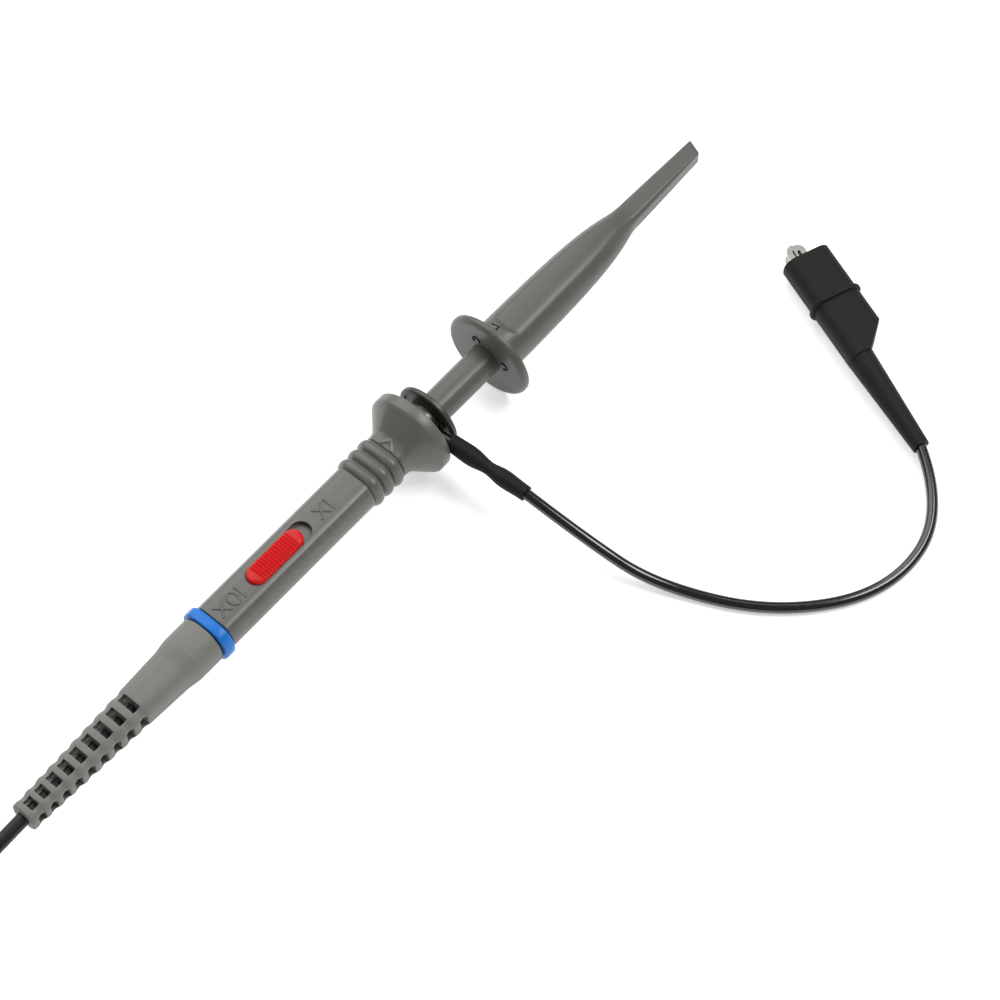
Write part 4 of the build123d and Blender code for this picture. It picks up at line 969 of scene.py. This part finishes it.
def make_spring():
    """The spring round the hook's rod; the real one shortens as the sheath is pulled back, but this coil
    keeps its length and rides with the carrier.
    """
    points = []
    steps = SPRING_TURNS * SPRING_TURN_POINTS
    coil_length = SPRING_END - SPRING_START - 2 * SPRING_WIRE_R
    for index in range(steps + 1):
        angle = 2 * pi * index / SPRING_TURN_POINTS
        station = SPRING_START + SPRING_WIRE_R + coil_length * index / steps
        points.append(place(station, SPRING_R * cos(angle), SPRING_R * sin(angle)))
    path = wire_curve("spring_path", points, SPRING_WIRE_R * MM, "spring_steel")
    shapes = bpy.context.evaluated_depsgraph_get()
    mesh = bpy.data.meshes.new_from_object(path.evaluated_get(shapes))
    bpy.data.objects.remove(path)
    spring = add_object("wound_spring", mesh)
    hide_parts("hook_spring")
    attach(spring, "carrier")
    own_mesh(spring)


# ---- dark slots on the clip's jaws, drawn as dark strokes of painted shade ----

CLIP_FRONT = (105.0, -34.9)
CLIP_ANGLE = radians(69.6)
JAW_SLOT_LIFT = 0.05

# name, body, front and rear end as (along, left), and radius of each slot
JAW_SLOTS = (
    ("fixed_jaw_slot", "ground", (2.5, 2.0), (-1.0, 2.3), 0.36),
    ("moving_jaw_slot", "jaw", (2.0, 0.75), (-1.0, 0.95), 0.26),
)


def clip_place(along, left, height):
    """A point from its place ahead of and to the left of the boot's mouth, in mm."""
    x = CLIP_FRONT[0] + along * cos(CLIP_ANGLE) - left * sin(CLIP_ANGLE)
    y = CLIP_FRONT[1] + along * sin(CLIP_ANGLE) + left * cos(CLIP_ANGLE)
    return Vector((x * MM, y * MM, height * MM))


def make_jaw_slots():
    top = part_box("croc_jaw_fixed")[1].z / MM
    for name, body, front, rear, radius in JAW_SLOTS:
        height = top - radius + JAW_SLOT_LIFT
        points = [clip_place(*front, height), clip_place(*rear, height)]
        # a dark stroke along the jaw's top: painted shade, standing in for the shade inside the slot
        stroke(name, points, radius * MM, body, "rubber_black")


# ---- switch knob ----

KNOB_START, KNOB_LENGTH, KNOB_HALF = 67.6, 15.8, 2.45
KNOB_FOOT, KNOB_TOP, KNOB_EDGE, KNOB_CROWN = 3.3, 5.35, 0.8, 0.14
GRIP_START, GRIP_END, GRIP_FADE, GRIP_EDGE_FADE = 69.6, 81.2, 0.4, 1.6
RIDGE_PITCH, RIDGE_HEIGHT = 0.76, 0.24
KNOB_ACROSS, KNOB_END_STEPS, KNOB_STEP = 60, 24, 0.076


def into_end(along):
    """How far a place along the knob lies into one of its round ends."""
    return max(0.0, KNOB_HALF - along, along - (KNOB_LENGTH - KNOB_HALF))


def knob_height(along, side):
    """Height of the knob's top over the handle's axis."""
    inset = min(KNOB_EDGE, max(0.0, KNOB_HALF - sqrt(into_end(along) ** 2 + side**2)))
    drop = KNOB_EDGE - sqrt(KNOB_EDGE**2 - (KNOB_EDGE - inset) ** 2)
    station = KNOB_START + along
    ridge = 0.5 + 0.5 * cos(2 * pi * (station - GRIP_START) / RIDGE_PITCH)
    fade = smooth(inset / KNOB_EDGE * GRIP_EDGE_FADE) * smooth((station - GRIP_START) / GRIP_FADE)
    fade *= smooth((GRIP_END - station) / GRIP_FADE)
    return KNOB_TOP - drop - KNOB_CROWN * (side / KNOB_HALF) ** 2 + RIDGE_HEIGHT * (ridge - 0.5) * fade


def make_knob():
    """A dome with round ends and finger ridges across it."""
    turns = [pi / 2 * index / KNOB_END_STEPS for index in range(1, KNOB_END_STEPS)]
    near_end = [KNOB_HALF * (1 - cos(turn)) for turn in turns]
    alongs = near_end + stations(KNOB_HALF, KNOB_LENGTH - KNOB_HALF, KNOB_STEP)
    alongs += [KNOB_LENGTH - along for along in reversed(near_end)]
    knob_rings = []
    for along in alongs:
        half = sqrt(KNOB_HALF**2 - into_end(along) ** 2)
        ring = [place(KNOB_START + along, half, KNOB_FOOT)]
        for index in range(KNOB_ACROSS + 1):
            side = half * sin(pi * (0.5 - index / KNOB_ACROSS))
            ring.append(place(KNOB_START + along, side, knob_height(along, side)))
        ring.append(place(KNOB_START + along, -half, KNOB_FOOT))
        knob_rings.append(ring)
    skin("moulded_knob", knob_rings, "switch", "switch_red", "switch_knob")


# ---- soft-edged pieces ----

# the CAD nodes whose sharp edges are rounded over, and how widely, in mm
SOFT_EDGES = {
    "connector_housing": 0.25,
    "connector_marker_ring": 0.3,
    "carrier_guard": 0.12,
    "hook_carrier": 0.15,
    "croc_boot": 0.3,
    "croc_jaw_fixed": 0.05,
    "croc_jaw_moving": 0.05,
}
WELD = 0.002
LEVEL_ANGLE = radians(0.5)


def soften(node, width):
    """A copy of a CAD node with its sharp edges rounded over, which then stands for it."""
    source = nodes[node]
    piece = add_object("soft_" + node, source.data.copy())
    work = bmesh.new()
    work.from_mesh(piece.data)
    bmesh.ops.remove_doubles(work, verts=work.verts, dist=WELD * MM)
    bmesh.ops.dissolve_limit(work, angle_limit=LEVEL_ANGLE, verts=work.verts, edges=work.edges)
    finish_mesh(work, piece.data)
    bevel = piece.modifiers.new("soft_edges", "BEVEL")
    bevel.width = width * MM
    bevel.segments = 3
    bevel.limit_method = "ANGLE"
    bevel.angle_limit = SMOOTH_ANGLE
    bevel.harden_normals = True
    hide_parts(node)
    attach(piece, source["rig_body"])


def make_soft_pieces():
    for node, width in SOFT_EDGES.items():
        soften(node, width)


make_camera()
dress_cad_nodes()
make_soft_pieces()
make_relief()
make_marker_ring()
make_shell()
make_sheath()
make_knob()
make_spring()
make_jaw_slots()
make_marks()
make_cable()
make_lead()
make_bench()
make_sky()
make_lamps()
